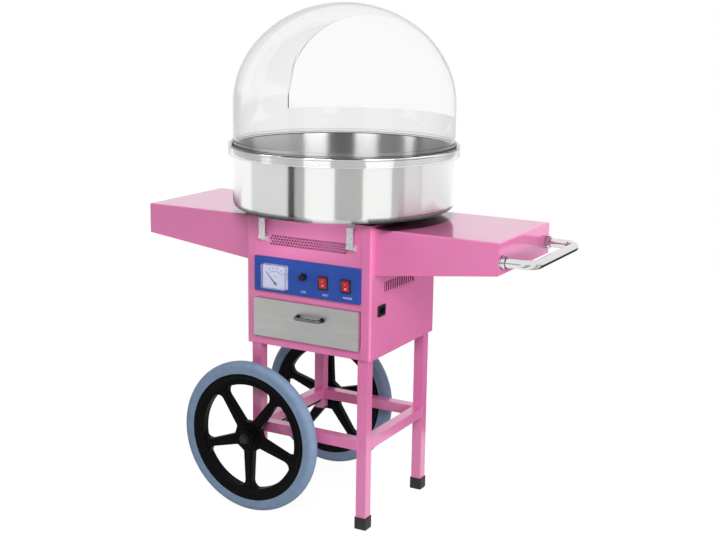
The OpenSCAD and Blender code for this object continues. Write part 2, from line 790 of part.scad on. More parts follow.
// Fuse holder with a bayonet cap
fuse_nut_t = 3;
fuse_wall = 2;
fuse_stem_r = fuse_barrel_r - fuse_wall;
fuse_stem_l = 18;
module fuse_holder() {
  color(black) machine() on_panel(fuse_x, fuse_lift) difference() {
    union() {
      translate([0, 0, -2 * fuse_stem_l]) cylinder(r = fuse_barrel_r, h = 2 * fuse_stem_l);
      cylinder(r = fuse_cap_r + fuse_wall, h = fuse_nut_t);
    }
    translate([0, 0, -fuse_stem_l - over]) {
      cylinder(r = fuse_stem_r + run_gap, h = fuse_stem_l + fuse_nut_t + 2 * over);
    }
  }
}
module fuse_cap() {
  grips = 12;
  grip_r = 1;
  slot = 1.6;
  color(black) machine() on_panel(fuse_x, fuse_lift) difference() {
    union() {
      translate([0, 0, -fuse_stem_l]) cylinder(r = fuse_stem_r, h = fuse_stem_l + fuse_nut_t + over);
      translate([0, 0, fuse_nut_t + loose_gap]) cylinder(r = fuse_cap_r, h = fuse_cap_l);
    }
    for (i = [0:grips - 1]) rotate(i * 360 / grips) {
      translate([fuse_cap_r + grip_r / 2, 0, fuse_nut_t + 2 * grip_r]) cylinder(r = grip_r, h = fuse_cap_l);
    }
    translate([0, 0, fuse_nut_t + loose_gap + fuse_cap_l]) {
      cube([slot, fuse_cap_r * 1.5, 2 * slot], center = true);
    }
  }
}

// Rocker switches: a frame with a cavity, and a rocker on two trunnions
cavity_w = switch_w - 2 * switch_border;
cavity_h = switch_h - 2 * switch_border;
cavity_d = 12;
rocker_r = cavity_h / 2 - loose_gap;
rocker_hw = cavity_w / 2 - loose_gap;
trunnion_r = 1.5;
trunnion_l = 1;
trunnion_z = -1;
module switch_frame() {
  corner = 2;
  difference() {
    union() {
      linear_extrude(switch_out) rounded_rect(switch_w, switch_h, corner);
      translate([0, 0, -cavity_d]) {
        cube([switch_body_w, switch_body_h, 2 * cavity_d], center = true);
      }
    }
    cube([cavity_w, cavity_h, 2 * cavity_d], center = true);
    translate([0, 0, trunnion_z]) {
      bar_x(trunnion_r + run_gap, cavity_w + 2 * trunnion_l + 2 * loose_gap);
    }
  }
}
module switch_frames() {
  color(black) machine() for (x = [heat_x, power_x]) on_panel(x) switch_frame();
}

// Rocker section: a dished front between two ends that are round about the trunnions
module rocker_section() {
  front = switch_out + 4;
  back = 5;
  dish = 2;
  a_front = asin(front / rocker_r);
  a_back = asin(back / rocker_r);
  polygon(concat(
    arc([0, 0], rocker_r, -a_back, a_front),
    [[0, front - dish]],
    arc([0, 0], rocker_r, 180 - a_front, 180 + a_back)
  ));
}
module rocker(x) {
  on_panel(x) translate([0, 0, trunnion_z]) rotate([rocker_tilt, 0, 0]) {
    rotate([90, 0, 90]) linear_extrude(2 * rocker_hw, center = true) rocker_section();
    bar_x(trunnion_r, cavity_w + 2 * trunnion_l);
  }
}
module heat_rocker() { color(red) machine() rocker(heat_x); }
module power_rocker() { color(red) machine() rocker(power_x); }

// Power inlet: a flanged socket with three flat pins
module power_inlet() {
  face_t = 3;
  face_r = 4;
  wall = 2.5;
  pin = [2, 4];
  pin_l = inlet_depth * 0.7;
  pin_step = [7, 2];
  color(black) machine() translate([side_x, -inlet_y, inlet_z]) rotate([90, 0, 90]) {
    difference() {
      union() {
        linear_extrude(face_t) rounded_rect(inlet_w, inlet_h, face_r);
        translate([0, 0, -inlet_depth]) {
          linear_extrude(inlet_depth) square([inlet_body_w, inlet_body_h], center = true);
        }
      }
      translate([0, 0, wall - inlet_depth]) linear_extrude(2 * inlet_depth) {
        square([inlet_body_w - 2 * wall, inlet_body_h - 2 * wall], center = true);
      }
    }
    for (k = [-1, 0, 1]) {
      translate([k * pin_step.x, (k == 0 ? 1 : -1) * pin_step.y, -inlet_depth + wall / 2]) {
        linear_extrude(pin_l) square(pin, center = true);
      }
    }
  }
}

// Drawer runners: folded sections on the base plate, each with a ledge under the box
module drawer_runners() {
  web = drawer_w / 2 + drawer_clear;
  ledge_z = box_z - drawer_clear;
  foot_z = base_z + base_t;
  foot = 10;
  guide = 12;
  color(zinc) machine() for (sx = [0, 1]) mirror([sx, 0, 0]) {
    translate([0, -panel_y + sheet + loose_gap + drawer_d / 2, 0]) along_y(drawer_d) polygon([
      [web + foot, foot_z], [web + foot, foot_z + drawer_t], [web + drawer_t, foot_z + drawer_t],
      [web + drawer_t, ledge_z + guide], [web, ledge_z + guide], [web, ledge_z],
      [web - runner_ledge, ledge_z], [web - runner_ledge, ledge_z - drawer_t],
      [web, ledge_z - drawer_t], [web, foot_z]
    ]);
  }
}

// Drawer: an open sheet box, with a folded hollow front that overlaps the opening
front_gap = 0.5;
box_front = -panel_y - front_gap;
module drawer_box() {
  color(zinc) machine() difference() {
    wall_plate(-drawer_w / 2, drawer_w / 2, box_z, box_z + drawer_h, box_front, drawer_d);
    wall_plate(drawer_t - drawer_w / 2, drawer_w / 2 - drawer_t, box_z + drawer_t,
      box_z + drawer_h + over, box_front + drawer_t, drawer_d - 2 * drawer_t);
  }
}
module drawer_front() {
  hw = panel_w / 2;
  lip_w = 20;
  corner = 3;
  mid_z = drawer_z + drawer_front_h / 2;
  color(steel) machine() translate([0, box_front, mid_z]) rotate([90, 0, 0]) difference() {
    linear_extrude(drawer_out) rounded_rect(2 * hw, drawer_front_h, corner);
    translate([0, 0, drawer_t]) linear_extrude(drawer_out - 2 * drawer_t) {
      rounded_rect(2 * hw - 2 * drawer_t, drawer_front_h - 2 * drawer_t, corner - drawer_t);
    }
    translate([0, 0, -over]) linear_extrude(drawer_out / 2) {
      square([2 * (hw - lip_w), drawer_front_h - 2 * lip_w], center = true);
    }
  }
}

// Pull: a bent rod on two feet in the middle of the drawer front
module drawer_pull() {
  foot_r = pull_d / 2 + 2;
  foot_t = 2;
  bar_l = pull_l - 2 * pull_bend;
  post_l = pull_reach - pull_bend;
  pull_x = pull_place * panel_w;
  pull_z = drawer_z + pull_rise * drawer_front_h;
  color(steel) machine() translate([pull_x, box_front - drawer_out, pull_z]) rotate([90, 0, 0]) {
    for (sx = [0, 1]) mirror([sx, 0, 0]) translate([pull_l / 2, 0, 0]) {
      cylinder(r = foot_r, h = foot_t);
      cylinder(d = pull_d, h = post_l);
      translate([-pull_bend, 0, post_l]) rotate([90, 0, 0]) rotate_extrude(angle = 90) {
        translate([pull_bend, 0]) circle(d = pull_d);
      }
    }
    translate([0, 0, pull_reach]) rotate([0, 90, 0]) cylinder(d = pull_d, h = bar_l, center = true);
  }
}

// Trays: inverted pans with folded edges and skirts that are deeper at the housing
module tray_profile(inset) {
  r = tray_fold_r - inset;
  x0 = side_x + inset;
  x1 = tray_x - inset;
  z1 = tray_z - inset;
  cut = inset > 0 ? tray_root_h : 0;
  polygon(concat(
    [[x0, tray_z - tray_root_h - cut], [x1, tray_z - tray_end_h - cut]],
    arc([x1 - r, z1 - r], r, 0, 90, 5),
    [[x0, z1]]
  ));
}
module tray_cross(inset) {
  r = tray_fold_r - inset;
  y1 = tray_d / 2 - inset;
  z1 = tray_z - inset;
  low = tray_z - 3 * tray_root_h;
  polygon(concat(
    [[-y1, low], [y1, low]],
    arc([y1 - r, z1 - r], r, 0, 90, 5),
    arc([r - y1, z1 - r], r, 90, 180, 5)
  ));
}
module tray_block(inset) {
  intersection() {
    along_y(tray_d + over) tray_profile(inset);
    translate([side_x + tray_len / 2, 0, 0]) along_x(tray_len + over) tray_cross(inset);
  }
}
module tray() {
  difference() {
    tray_block(0);
    tray_block(sheet);
    bolt_places() bar_x(bolt_r + run_gap, 4 * sheet);
  }
}
module tray_left() { color(pink) machine() mirror([1, 0, 0]) tray(); }
module tray_right() { color(pink) machine() tray(); }

// Bolts that hold the trays to the side panels, with nuts inside the housing
module tray_bolt() {
  head_t = 4;
  head_af = 10;
  bar_x(bolt_r, 2 * (sheet + head_t));
  translate([sheet, 0, 0]) rotate([0, 90, 0]) cylinder(d = head_af / cos(30), h = head_t, $fn = 6);
  translate([-sheet - head_t, 0, 0]) rotate([0, 90, 0]) {
    cylinder(d = head_af / cos(30), h = head_t, $fn = 6);
  }
}
module tray_bolts() {
  color(zinc) machine() for (sx = [0, 1]) mirror([sx, 0, 0]) bolt_places() tray_bolt();
}

// Push handle: a bent tube in two flanges on the right tray's end
flange_t = 3;
socket_l = 9;
socket_t = 3.5;
module handle_section() {
  difference() {
    circle(d = handle_d);
    circle(d = handle_d - 2 * handle_t);
  }
}
module handle_bar() {
  bar_r = handle_d / 2;
  bend_x = tray_x + handle_reach - bar_r - handle_bend;
  arm0 = tray_x + flange_t;
  color(steel) machine() translate([0, 0, handle_z]) {
    for (sy = [0, 1]) mirror([0, sy, 0]) {
      translate([arm0, handle_y, 0]) rotate([90, 0, 90]) linear_extrude(bend_x - arm0) handle_section();
      translate([bend_x, handle_y - handle_bend, 0]) rotate_extrude(angle = 90) {
        translate([handle_bend, 0]) handle_section();
      }
    }
    translate([bend_x + handle_bend, 0, 0]) along_y(2 * (handle_y - handle_bend)) handle_section();
  }
}
module handle_flanges() {
  color(steel) machine() for (sy = [-1, 1]) {
    translate([tray_x, sy * handle_y, handle_z]) rotate([0, 90, 0]) difference() {
      union() {
        cylinder(r = handle_flange_r, h = flange_t);
        cylinder(r = handle_d / 2 + socket_t, h = flange_t + socket_l);
      }
      translate([0, 0, flange_t]) cylinder(r = handle_d / 2 + fit_gap, h = socket_l + over);
    }
  }
}

// Bowl: spun from sheet, with a rolled rim and a collar round the spinner's hole
module bowl_section() {
  c = bowl_corner_r;
  roll = bowl_roll_r;
  wall_top = bowl_h - roll;
  polygon(concat(
    [[bowl_hole_r, 0]],
    arc([bowl_r - c, c], c, -90, 0, 10),
    [[bowl_r, wall_top], [bowl_r - bowl_t, wall_top]],
    arc([bowl_r - c, c], c - bowl_t, 0, -90, 10),
    [[bowl_hole_r + bowl_t, bowl_t], [bowl_hole_r + bowl_t, bowl_collar_h], [bowl_hole_r, bowl_collar_h]]
  ));
  translate([bowl_r - bowl_t + roll, wall_top]) circle(roll);
}
module bowl() {
  color(steel) machine() translate([0, 0, bowl_z]) rotate_extrude() bowl_section();
}
module bowl_gasket() {
  r0 = bowl_hole_r + bowl_roll_r;
  color(black) machine() translate([0, 0, top_z]) linear_extrude(gasket_h) difference() {
    circle(r0 + gasket_w);
    circle(r0);
  }
}

// Latches: a lug hangs from the bowl, and a hooked lever on a pin pulls its lip down
lug_gap = 1;
lug_y = sheet + lug_gap;
lip_out = latch_out + lug_gap;
knuckle_t = 2.2;
knuckle_r = latch_pin_d / 2 + knuckle_t;
ear_t = latch_t;
module latch_places() {
  for (sx = [-1, 1], sy = [0, 1]) mirror([0, sy, 0]) translate([sx * latch_x, -panel_y, 0]) children();
}
module lug() {
  translate([-latch_w / 2, -lug_y - latch_t, lip_z]) cube([latch_w, latch_t, lug_drop]);
  translate([-latch_w / 2, -lip_out, lip_z]) cube([latch_w, lip_out - lug_y, latch_t]);
}
module bowl_lugs() { color(steel) machine() latch_places() lug(); }
module latch_bracket() {
  ear_x = latch_w / 2 + loose_gap;
  bore = latch_pin_d / 2 + fit_gap;
  difference() {
    union() {
      translate([-ear_x - ear_t, -latch_t, pin_z - 2 * knuckle_r]) {
        cube([2 * (ear_x + ear_t), latch_t, 4 * knuckle_r]);
      }
      for (s = [-1, 1]) translate([s * (ear_x + ear_t / 2), -latch_out, pin_z]) {
        bar_x(knuckle_r, ear_t);
        translate([-ear_t / 2, 0, -knuckle_r]) cube([ear_t, latch_out - latch_t / 2, 2 * knuckle_r]);
      }
    }
    translate([0, -latch_out, pin_z]) bar_x(bore, 4 * latch_w);
  }
  translate([0, -latch_out, pin_z]) {
    bar_x(latch_pin_d / 2, 2 * (ear_x + ear_t + latch_t));
    for (s = [-1, 1]) translate([s * (ear_x + ear_t + fit_gap + latch_t / 2), 0, 0]) {
      bar_x(latch_pin_d * 0.8, latch_t);
    }
  }
}
module latch_brackets() { color(steel) machine() latch_places() latch_bracket(); }

// Lever: a knuckle on the pin, a strip up to the lug, a hook inwards and a rolled thumb edge
module latch_lever() {
  strip_y = -latch_out - knuckle_r;
  hook_z = lip_z + latch_t + hook_gap;
  hook_in = -lug_y - 2 * latch_t;
  roll = latch_t;
  difference() {
    union() {
      translate([0, -latch_out, pin_z]) bar_x(knuckle_r, latch_w);
      translate([-latch_w / 2, strip_y, pin_z]) cube([latch_w, latch_t, hook_z + latch_t - pin_z]);
      translate([-latch_w / 2, strip_y, hook_z]) cube([latch_w, hook_in - strip_y, latch_t]);
      translate([0, strip_y, hook_z + latch_t - roll]) bar_x(roll, latch_w);
    }
    translate([0, -latch_out, pin_z]) bar_x(latch_pin_d / 2 + run_gap, latch_w + over);
  }
}
module one_lever(sx, sy) {
  mirror([0, sy, 0]) translate([sx * latch_x, -panel_y, 0]) latch_lever();
}
module latch_lever_front_left() { color(steel) machine() one_lever(-1, 0); }
module latch_lever_front_right() { color(steel) machine() one_lever(1, 0); }
module latch_lever_rear_left() { color(steel) machine() one_lever(-1, 1); }
module latch_lever_rear_right() { color(steel) machine() one_lever(1, 1); }

// Dome: a straight wall with an elliptical crown, cut away behind an upright plane
dome_z = rim_z + loose_gap;
function crown(r, rise, from, to, n = 24) =
  [for (i = [0:n]) let (a = from + (to - from) * i / n) [r * cos(a), dome_wall_h + rise * sin(a)]];
module dome() {
  inner_r = dome_r - dome_t;
  color(clear) machine() translate([0, 0, dome_z]) difference() {
    rotate_extrude() polygon(concat(
      [[inner_r, 0], [dome_r, 0]],
      crown(dome_r, dome_rise, 0, 90),
      crown(inner_r, dome_rise - dome_t, 90, 0)
    ));
    translate([-dome_r, mouth_y, mouth_sill]) cube([2 * dome_r, dome_r, dome_wall_h + dome_rise]);
  }
}

// Rim band: bonded round the dome's foot, it hooks over the bowl's rolled rim
module dome_rim() {
  foot_r = dome_r + run_gap;
  in_r = bowl_r - bowl_t + 2 * bowl_roll_r + band_gap;
  upstand = 10;
  color(clear) machine() translate([0, 0, dome_z]) rotate_extrude() polygon([
    [foot_r, 0], [in_r, 0], [in_r, band_t - band_h], [in_r + band_t, band_t - band_h],
    [in_r + band_t, band_t], [foot_r + band_t, band_t], [foot_r + band_t, upstand], [foot_r, upstand]
  ]);
}

// Motor under its bracket: a ribbed case with a bearing nose and a bore for the shaft
shaft_r = shaft_d / 2;
plate_z = wall_z - bracket_drop;
motor_z = plate_z - motor_h;
nose_r = shaft_r + nose_t;
nose_h = 2;
shaft_z = motor_z + motor_floor;
module motor() {
  ribs = 12;
  rib = 3;
  color(zinc) machine() difference() {
    union() {
      translate([0, 0, motor_z]) rotate_extrude() polygon([
        [0, 0], [motor_d / 2 - 2 * rib, 0], [motor_d / 2 - rib, rib],
        [motor_d / 2 - rib, motor_h - motor_band], [motor_d / 2, motor_h - motor_band],
        [motor_d / 2, motor_h], [0, motor_h]
      ]);
      for (i = [0:ribs - 1]) rotate(i * 360 / ribs) {
        translate([motor_d / 2 - 2 * rib, -rib / 2, motor_z + motor_band]) {
          cube([2 * rib, rib, motor_h - motor_band - rib]);
        }
      }
      translate([0, 0, plate_z - over]) cylinder(r = nose_r, h = bracket_t + nose_h + over);
    }
    translate([0, 0, shaft_z]) cylinder(r = shaft_r + run_gap, h = motor_h + bracket_t + nose_h);
  }
}

// Motor bracket: a folded hanger under the top plate
module motor_bracket() {
  w = bracket_w / 2;
  t = bracket_t;
  foot = 16;
  color(zinc) machine() translate([0, 0, plate_z]) difference() {
    along_y(bracket_d) polygon([
      [-w, 0], [w, 0], [w, bracket_drop - t], [w + foot, bracket_drop - t], [w + foot, bracket_drop],
      [w - t, bracket_drop], [w - t, t], [t - w, t], [t - w, bracket_drop], [-w - foot, bracket_drop],
      [-w - foot, bracket_drop - t], [-w, bracket_drop - t]
    ]);
    translate([0, 0, -over]) cylinder(r = nose_r + fit_gap, h = t + 2 * over);
  }
}

// Shaft with its insulated slip rings, and the brushes that feed the heater
ring_lift = 6;
ring_z = plate_z + bracket_t + ring_lift;
sleeve_t = 7;
ring_t = 3;
sleeve_r = shaft_r + sleeve_t;
ring_out = sleeve_r + ring_t;
ring_w = 6;
head_z = bowl_z + head_rise;
hub_h = 18;
module spinner_shaft() {
  color(zinc) machine() translate([0, 0, shaft_z + loose_gap]) {
    cylinder(r = shaft_r, h = head_z + hub_h - shaft_z - loose_gap);
  }
}
module slip_rings() {
  color(brass) machine() translate([0, 0, ring_z]) difference() {
    union() {
      cylinder(r = sleeve_r, h = 4 * ring_w);
      for (k = [0, 1]) translate([0, 0, ring_w / 2 + k * 2 * ring_w]) cylinder(r = ring_out, h = ring_w);
    }
    translate([0, 0, -over]) cylinder(r = shaft_r + fit_gap, h = 4 * ring_w + 2 * over);
  }
}
module brush_block() {
  brush_l = 4;
  brush_w = 4;
  block_w = 16;
  block_x = ring_out + brush_l;
  first = ring_lift + ring_w - brush_w / 2;
  color(black) machine() translate([0, 0, plate_z + bracket_t]) {
    translate([block_x, -block_w / 2, 0]) cube([block_w, block_w, ring_lift + 4 * ring_w]);
    for (k = [0, 1]) translate([ring_out + loose_gap, -brush_w / 2, first + k * 2 * ring_w]) {
      cube([brush_l, brush_w, brush_w]);
    }
  }
}

// Spinner: a spun pan on the shaft, a heater ring, and a slotted band with its sugar cap
rim_step = 6;
module spinner_head() {
  hub = shaft_r + nose_t;
  color(steel) machine() translate([0, 0, head_z]) rotate_extrude() polygon([
    [shaft_r + fit_gap, 0], [head_r - rim_step, 0], [head_r, rim_step], [head_r, 2 * rim_step],
    [head_r - head_t, 2 * rim_step], [head_r - head_t, rim_step + head_t],
    [head_r - rim_step - over, head_t], [hub, head_t], [hub, hub_h], [shaft_r + fit_gap, hub_h]
  ]);
}
module heater_ring() {
  posts = 3;
  post_r = 2.5;
  seat = head_t;
  lift = 4;
  color(brass) machine() translate([0, 0, head_z + seat]) {
    rotate_extrude() translate([heater_r, lift + heater_d / 2]) circle(d = heater_d);
    for (i = [0:posts - 1]) rotate(i * 360 / posts) translate([heater_r, 0, 0]) {
      cylinder(r = post_r, h = lift + heater_d / 2);
    }
  }
}
module spinner_cap() {
  band_z = head_z + 2 * rim_step;
  slot = 2.4;
  margin = 6;
  cone = 8;
  color(steel) machine() translate([0, 0, band_z]) difference() {
    rotate_extrude() polygon([
      [head_r - head_t, 0], [head_r, 0], [head_r, head_band_h], [sugar_r, head_band_h + cone],
      [sugar_r, head_band_h + cone - head_t], [head_r - head_t, head_band_h - head_t]
    ]);
    for (i = [0:head_slots - 1]) rotate(i * 360 / head_slots) {
      translate([head_r - 2 * head_t, -slot / 2, margin]) {
        cube([3 * head_t, slot, head_band_h - 3 * margin]);
      }
    }
  }
}

leg_front_left();
leg_rear_left();
leg_front_right();
leg_rear_right();
long_rails();
cross_rails();
foot_caps();
axle();
axle_fittings();
base_plate();
side_panel_left();
side_panel_right();
front_panel();
rear_cover();
top_plate();
front_vent();
side_vents();
control_panel();
meter_case();
meter_dial();
meter_needle();
meter_lens();
fuse_holder();
fuse_cap();
switch_frames();
heat_rocker();
power_rocker();
power_inlet();
drawer_runners();
drawer_box();
drawer_front();
drawer_pull();
tray_left();
tray_right();
tray_bolts();
handle_bar();
handle_flanges();
bowl();
bowl_gasket();
bowl_lugs();
latch_brackets();
latch_lever_front_left();
latch_lever_front_right();
latch_lever_rear_left();
latch_lever_rear_right();
dome();
dome_rim();
motor();
motor_bracket();
brush_block();
spinner_shaft();
slip_rings();
spinner_head();
heater_ring();
spinner_cap();
front_wheel_rim();
front_tyre();
rear_wheel_rim();
rear_tyre();
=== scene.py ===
import math

import bmesh
import bpy
import numpy as np
from mathutils import Matrix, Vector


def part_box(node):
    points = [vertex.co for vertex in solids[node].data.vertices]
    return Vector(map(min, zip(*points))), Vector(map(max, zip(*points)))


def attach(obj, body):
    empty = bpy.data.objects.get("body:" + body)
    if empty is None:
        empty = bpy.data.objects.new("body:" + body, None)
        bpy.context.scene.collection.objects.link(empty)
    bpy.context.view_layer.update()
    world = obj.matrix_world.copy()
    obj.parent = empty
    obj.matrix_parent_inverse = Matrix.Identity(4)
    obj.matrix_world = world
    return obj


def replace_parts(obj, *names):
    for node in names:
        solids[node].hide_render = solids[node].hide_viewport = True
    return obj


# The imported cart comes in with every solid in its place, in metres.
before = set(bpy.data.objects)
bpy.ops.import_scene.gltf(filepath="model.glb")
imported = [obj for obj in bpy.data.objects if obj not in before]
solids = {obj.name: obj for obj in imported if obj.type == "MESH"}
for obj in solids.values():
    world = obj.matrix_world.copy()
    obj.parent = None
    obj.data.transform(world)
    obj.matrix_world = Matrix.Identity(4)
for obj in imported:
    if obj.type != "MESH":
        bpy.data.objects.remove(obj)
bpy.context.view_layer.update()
machine_x = -0.0425

# The view: from the front and the right, a little above the bowl, as in the photograph.
# The turn, pitch, roll and focal length were fitted to the corners of the housing, the trays and the wheels.
view_turn, view_pitch, view_roll = 0.508, 0.218, 0.014
view_target = np.array([-0.0015, 0.0, 0.573])
view_distance = 2.9
focal_px, photo_px = 1230.2, 716
back = np.array([
    math.sin(view_turn) * math.cos(view_pitch),
    -math.cos(view_turn) * math.cos(view_pitch),
    math.sin(view_pitch),
])
level = np.cross([0, 0, 1], back)
level /= np.linalg.norm(level)
upright = np.cross(back, level)
right = math.cos(view_roll) * level + math.sin(view_roll) * upright
up = math.cos(view_roll) * upright - math.sin(view_roll) * level
photo_view = bpy.data.objects.new("photo_view", bpy.data.cameras.new("photo_view"))
photo_view.data.sensor_fit = "HORIZONTAL"
photo_view.data.sensor_width = 36
photo_view.data.lens = 36 * focal_px / photo_px
placed = np.eye(4)
placed[:3] = np.stack([right, up, back, view_target + view_distance * back], 1)
photo_view.matrix_world = Matrix(placed.tolist())
bpy.context.scene.collection.objects.link(photo_view)
bpy.context.scene.camera = photo_view
bpy.context.scene.view_settings.view_transform = "Standard"


# The studio: a pale floor that runs out to white, a white surround, four soft lamps and a narrow one.
# What the lens, a mirror or the clear dome sees of the surround is white; the light it sheds is weaker.
def add_node(tree, kind, feeds={}, **settings):
    """Adds one node: settings are its own, and feeds give each input a value or the socket that drives it."""
    node = tree.nodes.new(kind)
    for name, value in settings.items():
        setattr(node, name, value)
    for key, value in feeds.items():
        if isinstance(value, bpy.types.NodeSocket):
            tree.links.new(value, node.inputs[key])
        else:
            node.inputs[key].default_value = value
    return node


def linear(hex_colour):
    """An sRGB hex colour as linear red, green, blue and one."""
    part = np.array([int(hex_colour[i:i + 2], 16) / 255 for i in (1, 3, 5)])
    part = np.where(part <= 0.04045, part / 12.92, ((part + 0.055) / 1.055) ** 2.4)
    return (*part.tolist(), 1.0)


def bare_material(name):
    """A new material with an empty node tree; gives both."""
    made = bpy.data.materials.new(name)
    made.use_nodes = True
    made.node_tree.nodes.clear()
    return made, made.node_tree


def seen_directly(tree):
    """One for rays from the lens, its first mirror or through clear plastic,
    and zero for the light that falls on things."""
    path = add_node(tree, "ShaderNodeLightPath").outputs
    seen = path["Is Camera Ray"]
    for kind in ("Is Glossy Ray", "Is Transmission Ray"):
        seen = add_node(tree, "ShaderNodeMath", {0: seen, 1: path[kind]}, operation="MAXIMUM").outputs[0]
    once = add_node(tree, "ShaderNodeMath", {0: path["Glossy Depth"], 1: 1.5}, operation="LESS_THAN")
    return add_node(tree, "ShaderNodeMath", {0: seen, 1: once.outputs[0]}, operation="MULTIPLY").outputs[0]


# Mirror rays in through the dome, and rays after a second mirror, see the surround dimmed: painted dark
# reflections inside the bowl.
ambient, dimmed = 0.42, 0.08
surround = bpy.data.worlds.new("white_surround")
surround.use_nodes = True
tree = surround.node_tree
tree.nodes.clear()
path = add_node(tree, "ShaderNodeLightPath").outputs
mirrored = add_node(tree, "ShaderNodeMath", {0: path["Glossy Depth"], 1: 0.5}, operation="GREATER_THAN")
enclosed = add_node(
    tree, "ShaderNodeMath", {0: path["Transmission Depth"], 1: 2.5}, operation="GREATER_THAN"
)
inside = add_node(
    tree, "ShaderNodeMath", {0: mirrored.outputs[0], 1: enclosed.outputs[0]}, operation="MULTIPLY"
)
again = add_node(tree, "ShaderNodeMath", {0: path["Glossy Depth"], 1: 1.5}, operation="GREATER_THAN")
dulled = add_node(tree, "ShaderNodeMath", {0: inside.outputs[0], 1: again.outputs[0]}, operation="MAXIMUM")
open_level = add_node(
    tree, "ShaderNodeMapRange", {"Value": seen_directly(tree), "To Min": ambient, "To Max": 1.0}
)
level_of_light = add_node(
    tree, "ShaderNodeMapRange",
    {"Value": dulled.outputs[0], "To Min": open_level.outputs[0], "To Max": dimmed},
)
glow = add_node(
    tree, "ShaderNodeBackground", {"Color": (1, 1, 1, 1), "Strength": level_of_light.outputs[0]}
)
add_node(tree, "ShaderNodeOutputWorld", {"Surface": glow.outputs[0]})
bpy.context.scene.world = surround

floor_half, floor_z = 8.0, -0.0005
floor_shade, floor_glow, floor_bounce = 0.14, 0.92, 0.25
fade_from, fade_to = 0.8, 1.6
floor_mesh = bpy.data.meshes.new("studio_floor")
floor_mesh.from_pydata(
    [(x * floor_half, y * floor_half, floor_z) for x, y in ((-1, -1), (1, -1), (1, 1), (-1, 1))],
    [], [(0, 1, 2, 3)],
)
floor_paint, tree = bare_material("matt_white_floor")
shaded = add_node(tree, "ShaderNodeBsdfDiffuse", {"Color": (*[floor_shade] * 3, 1)})
lit = add_node(tree, "ShaderNodeEmission", {"Color": (1, 1, 1, 1), "Strength": floor_glow})
near = add_node(tree, "ShaderNodeAddShader", {0: shaded.outputs[0], 1: lit.outputs[0]})
far = add_node(tree, "ShaderNodeEmission", {"Color": (1, 1, 1, 1), "Strength": 1.0})
place = add_node(tree, "ShaderNodeTexCoord").outputs["Object"]
away = add_node(tree, "ShaderNodeVectorMath", {0: place}, operation="LENGTH").outputs["Value"]
fade = add_node(tree, "ShaderNodeMapRange", {"Value": away, "From Min": fade_from, "From Max": fade_to})
shown = add_node(tree, "ShaderNodeMixShader", {0: fade.outputs[0], 1: near.outputs[0], 2: far.outputs[0]})
plain = add_node(tree, "ShaderNodeBsdfDiffuse", {"Color": (*[floor_bounce] * 3, 1)})
either_way = add_node(
    tree, "ShaderNodeMixShader", {0: seen_directly(tree), 1: plain.outputs[0], 2: shown.outputs[0]}
)
add_node(tree, "ShaderNodeOutputMaterial", {"Surface": either_way.outputs[0]})
floor_mesh.materials.append(floor_paint)
studio_floor = bpy.data.objects.new("studio_floor", floor_mesh)
bpy.context.scene.collection.objects.link(studio_floor)

roll_guide = (0.0, 1.0, 0.01)
for name, place, aim, (wide, tall), watts, spread in (
    ("key_lamp", (1.6, -3.0, 2.5), view_target, (1.8, 1.8), 86, 180),
    ("side_lamp", (3.3, -0.9, 0.9), view_target, (1.5, 1.5), 70, 180),
    ("top_lamp", (-0.6, 0.4, 3.6), view_target, (2.4, 2.4), 6, 180),
    ("back_lamp", (-1.8, 3.0, 1.9), view_target, (1.8, 1.8), 32, 180),
    ("strip_lamp", (0.2, -2.6, 0.35), (-0.03, -0.16, 0.7), (0.3, 0.03), 0.037, 4.5),
):
    lamp = bpy.data.objects.new(name, bpy.data.lights.new(name, "AREA"))
    lamp.data.shape = "ELLIPSE"
    lamp.data.size, lamp.data.size_y = wide, tall
    lamp.data.energy = watts
    lamp.data.spread = math.radians(spread)
    away = np.array(place) - aim
    away /= np.linalg.norm(away)
    across = np.cross(roll_guide, away)
    across /= np.linalg.norm(across)
    turned = np.eye(4)
    turned[:3] = np.stack([across, np.cross(away, across), away, place], 1)
    lamp.matrix_world = Matrix(turned.tolist())
    lamp.visible_glossy = lamp.visible_transmission = False
    bpy.context.scene.collection.objects.link(lamp)


# Grey, white and black cards stand round the studio and give the polished bowl its upright bands.
# Low ones show on its outside, high ones through the dome on its inside; black ones under its foot are
# painted shade.
# The bowl's rounded foot mirrors them in place of the shaded tray tops.
# One on the floor, right of the cart, is for the paint. Each shows in mirrors only, and on one side.
def card_mesh(bearing_from, bearing_to, reach, rise):
    """A strip round the bowl's axis: bearings run from the front towards the right, in degrees,
    and the profile is points of (reach, rise)."""
    steps = 9
    bearing = np.radians(np.linspace(bearing_from, bearing_to, steps))[None, :]
    reach, rise = np.array(reach)[:, None], np.array(rise)[:, None]
    x, y = machine_x + reach * np.sin(bearing), -reach * np.cos(bearing)
    points = np.stack(np.broadcast_arrays(x, y, rise), -1)
    index = np.arange(reach.size * steps).reshape(-1, steps)
    quads = np.stack([index[:-1, :-1], index[:-1, 1:], index[1:, 1:], index[1:, :-1]], -1)
    mesh = bpy.data.meshes.new("studio_card")
    mesh.from_pydata(points.reshape(-1, 3).tolist(), [], quads.reshape(-1, 4).tolist())
    return mesh


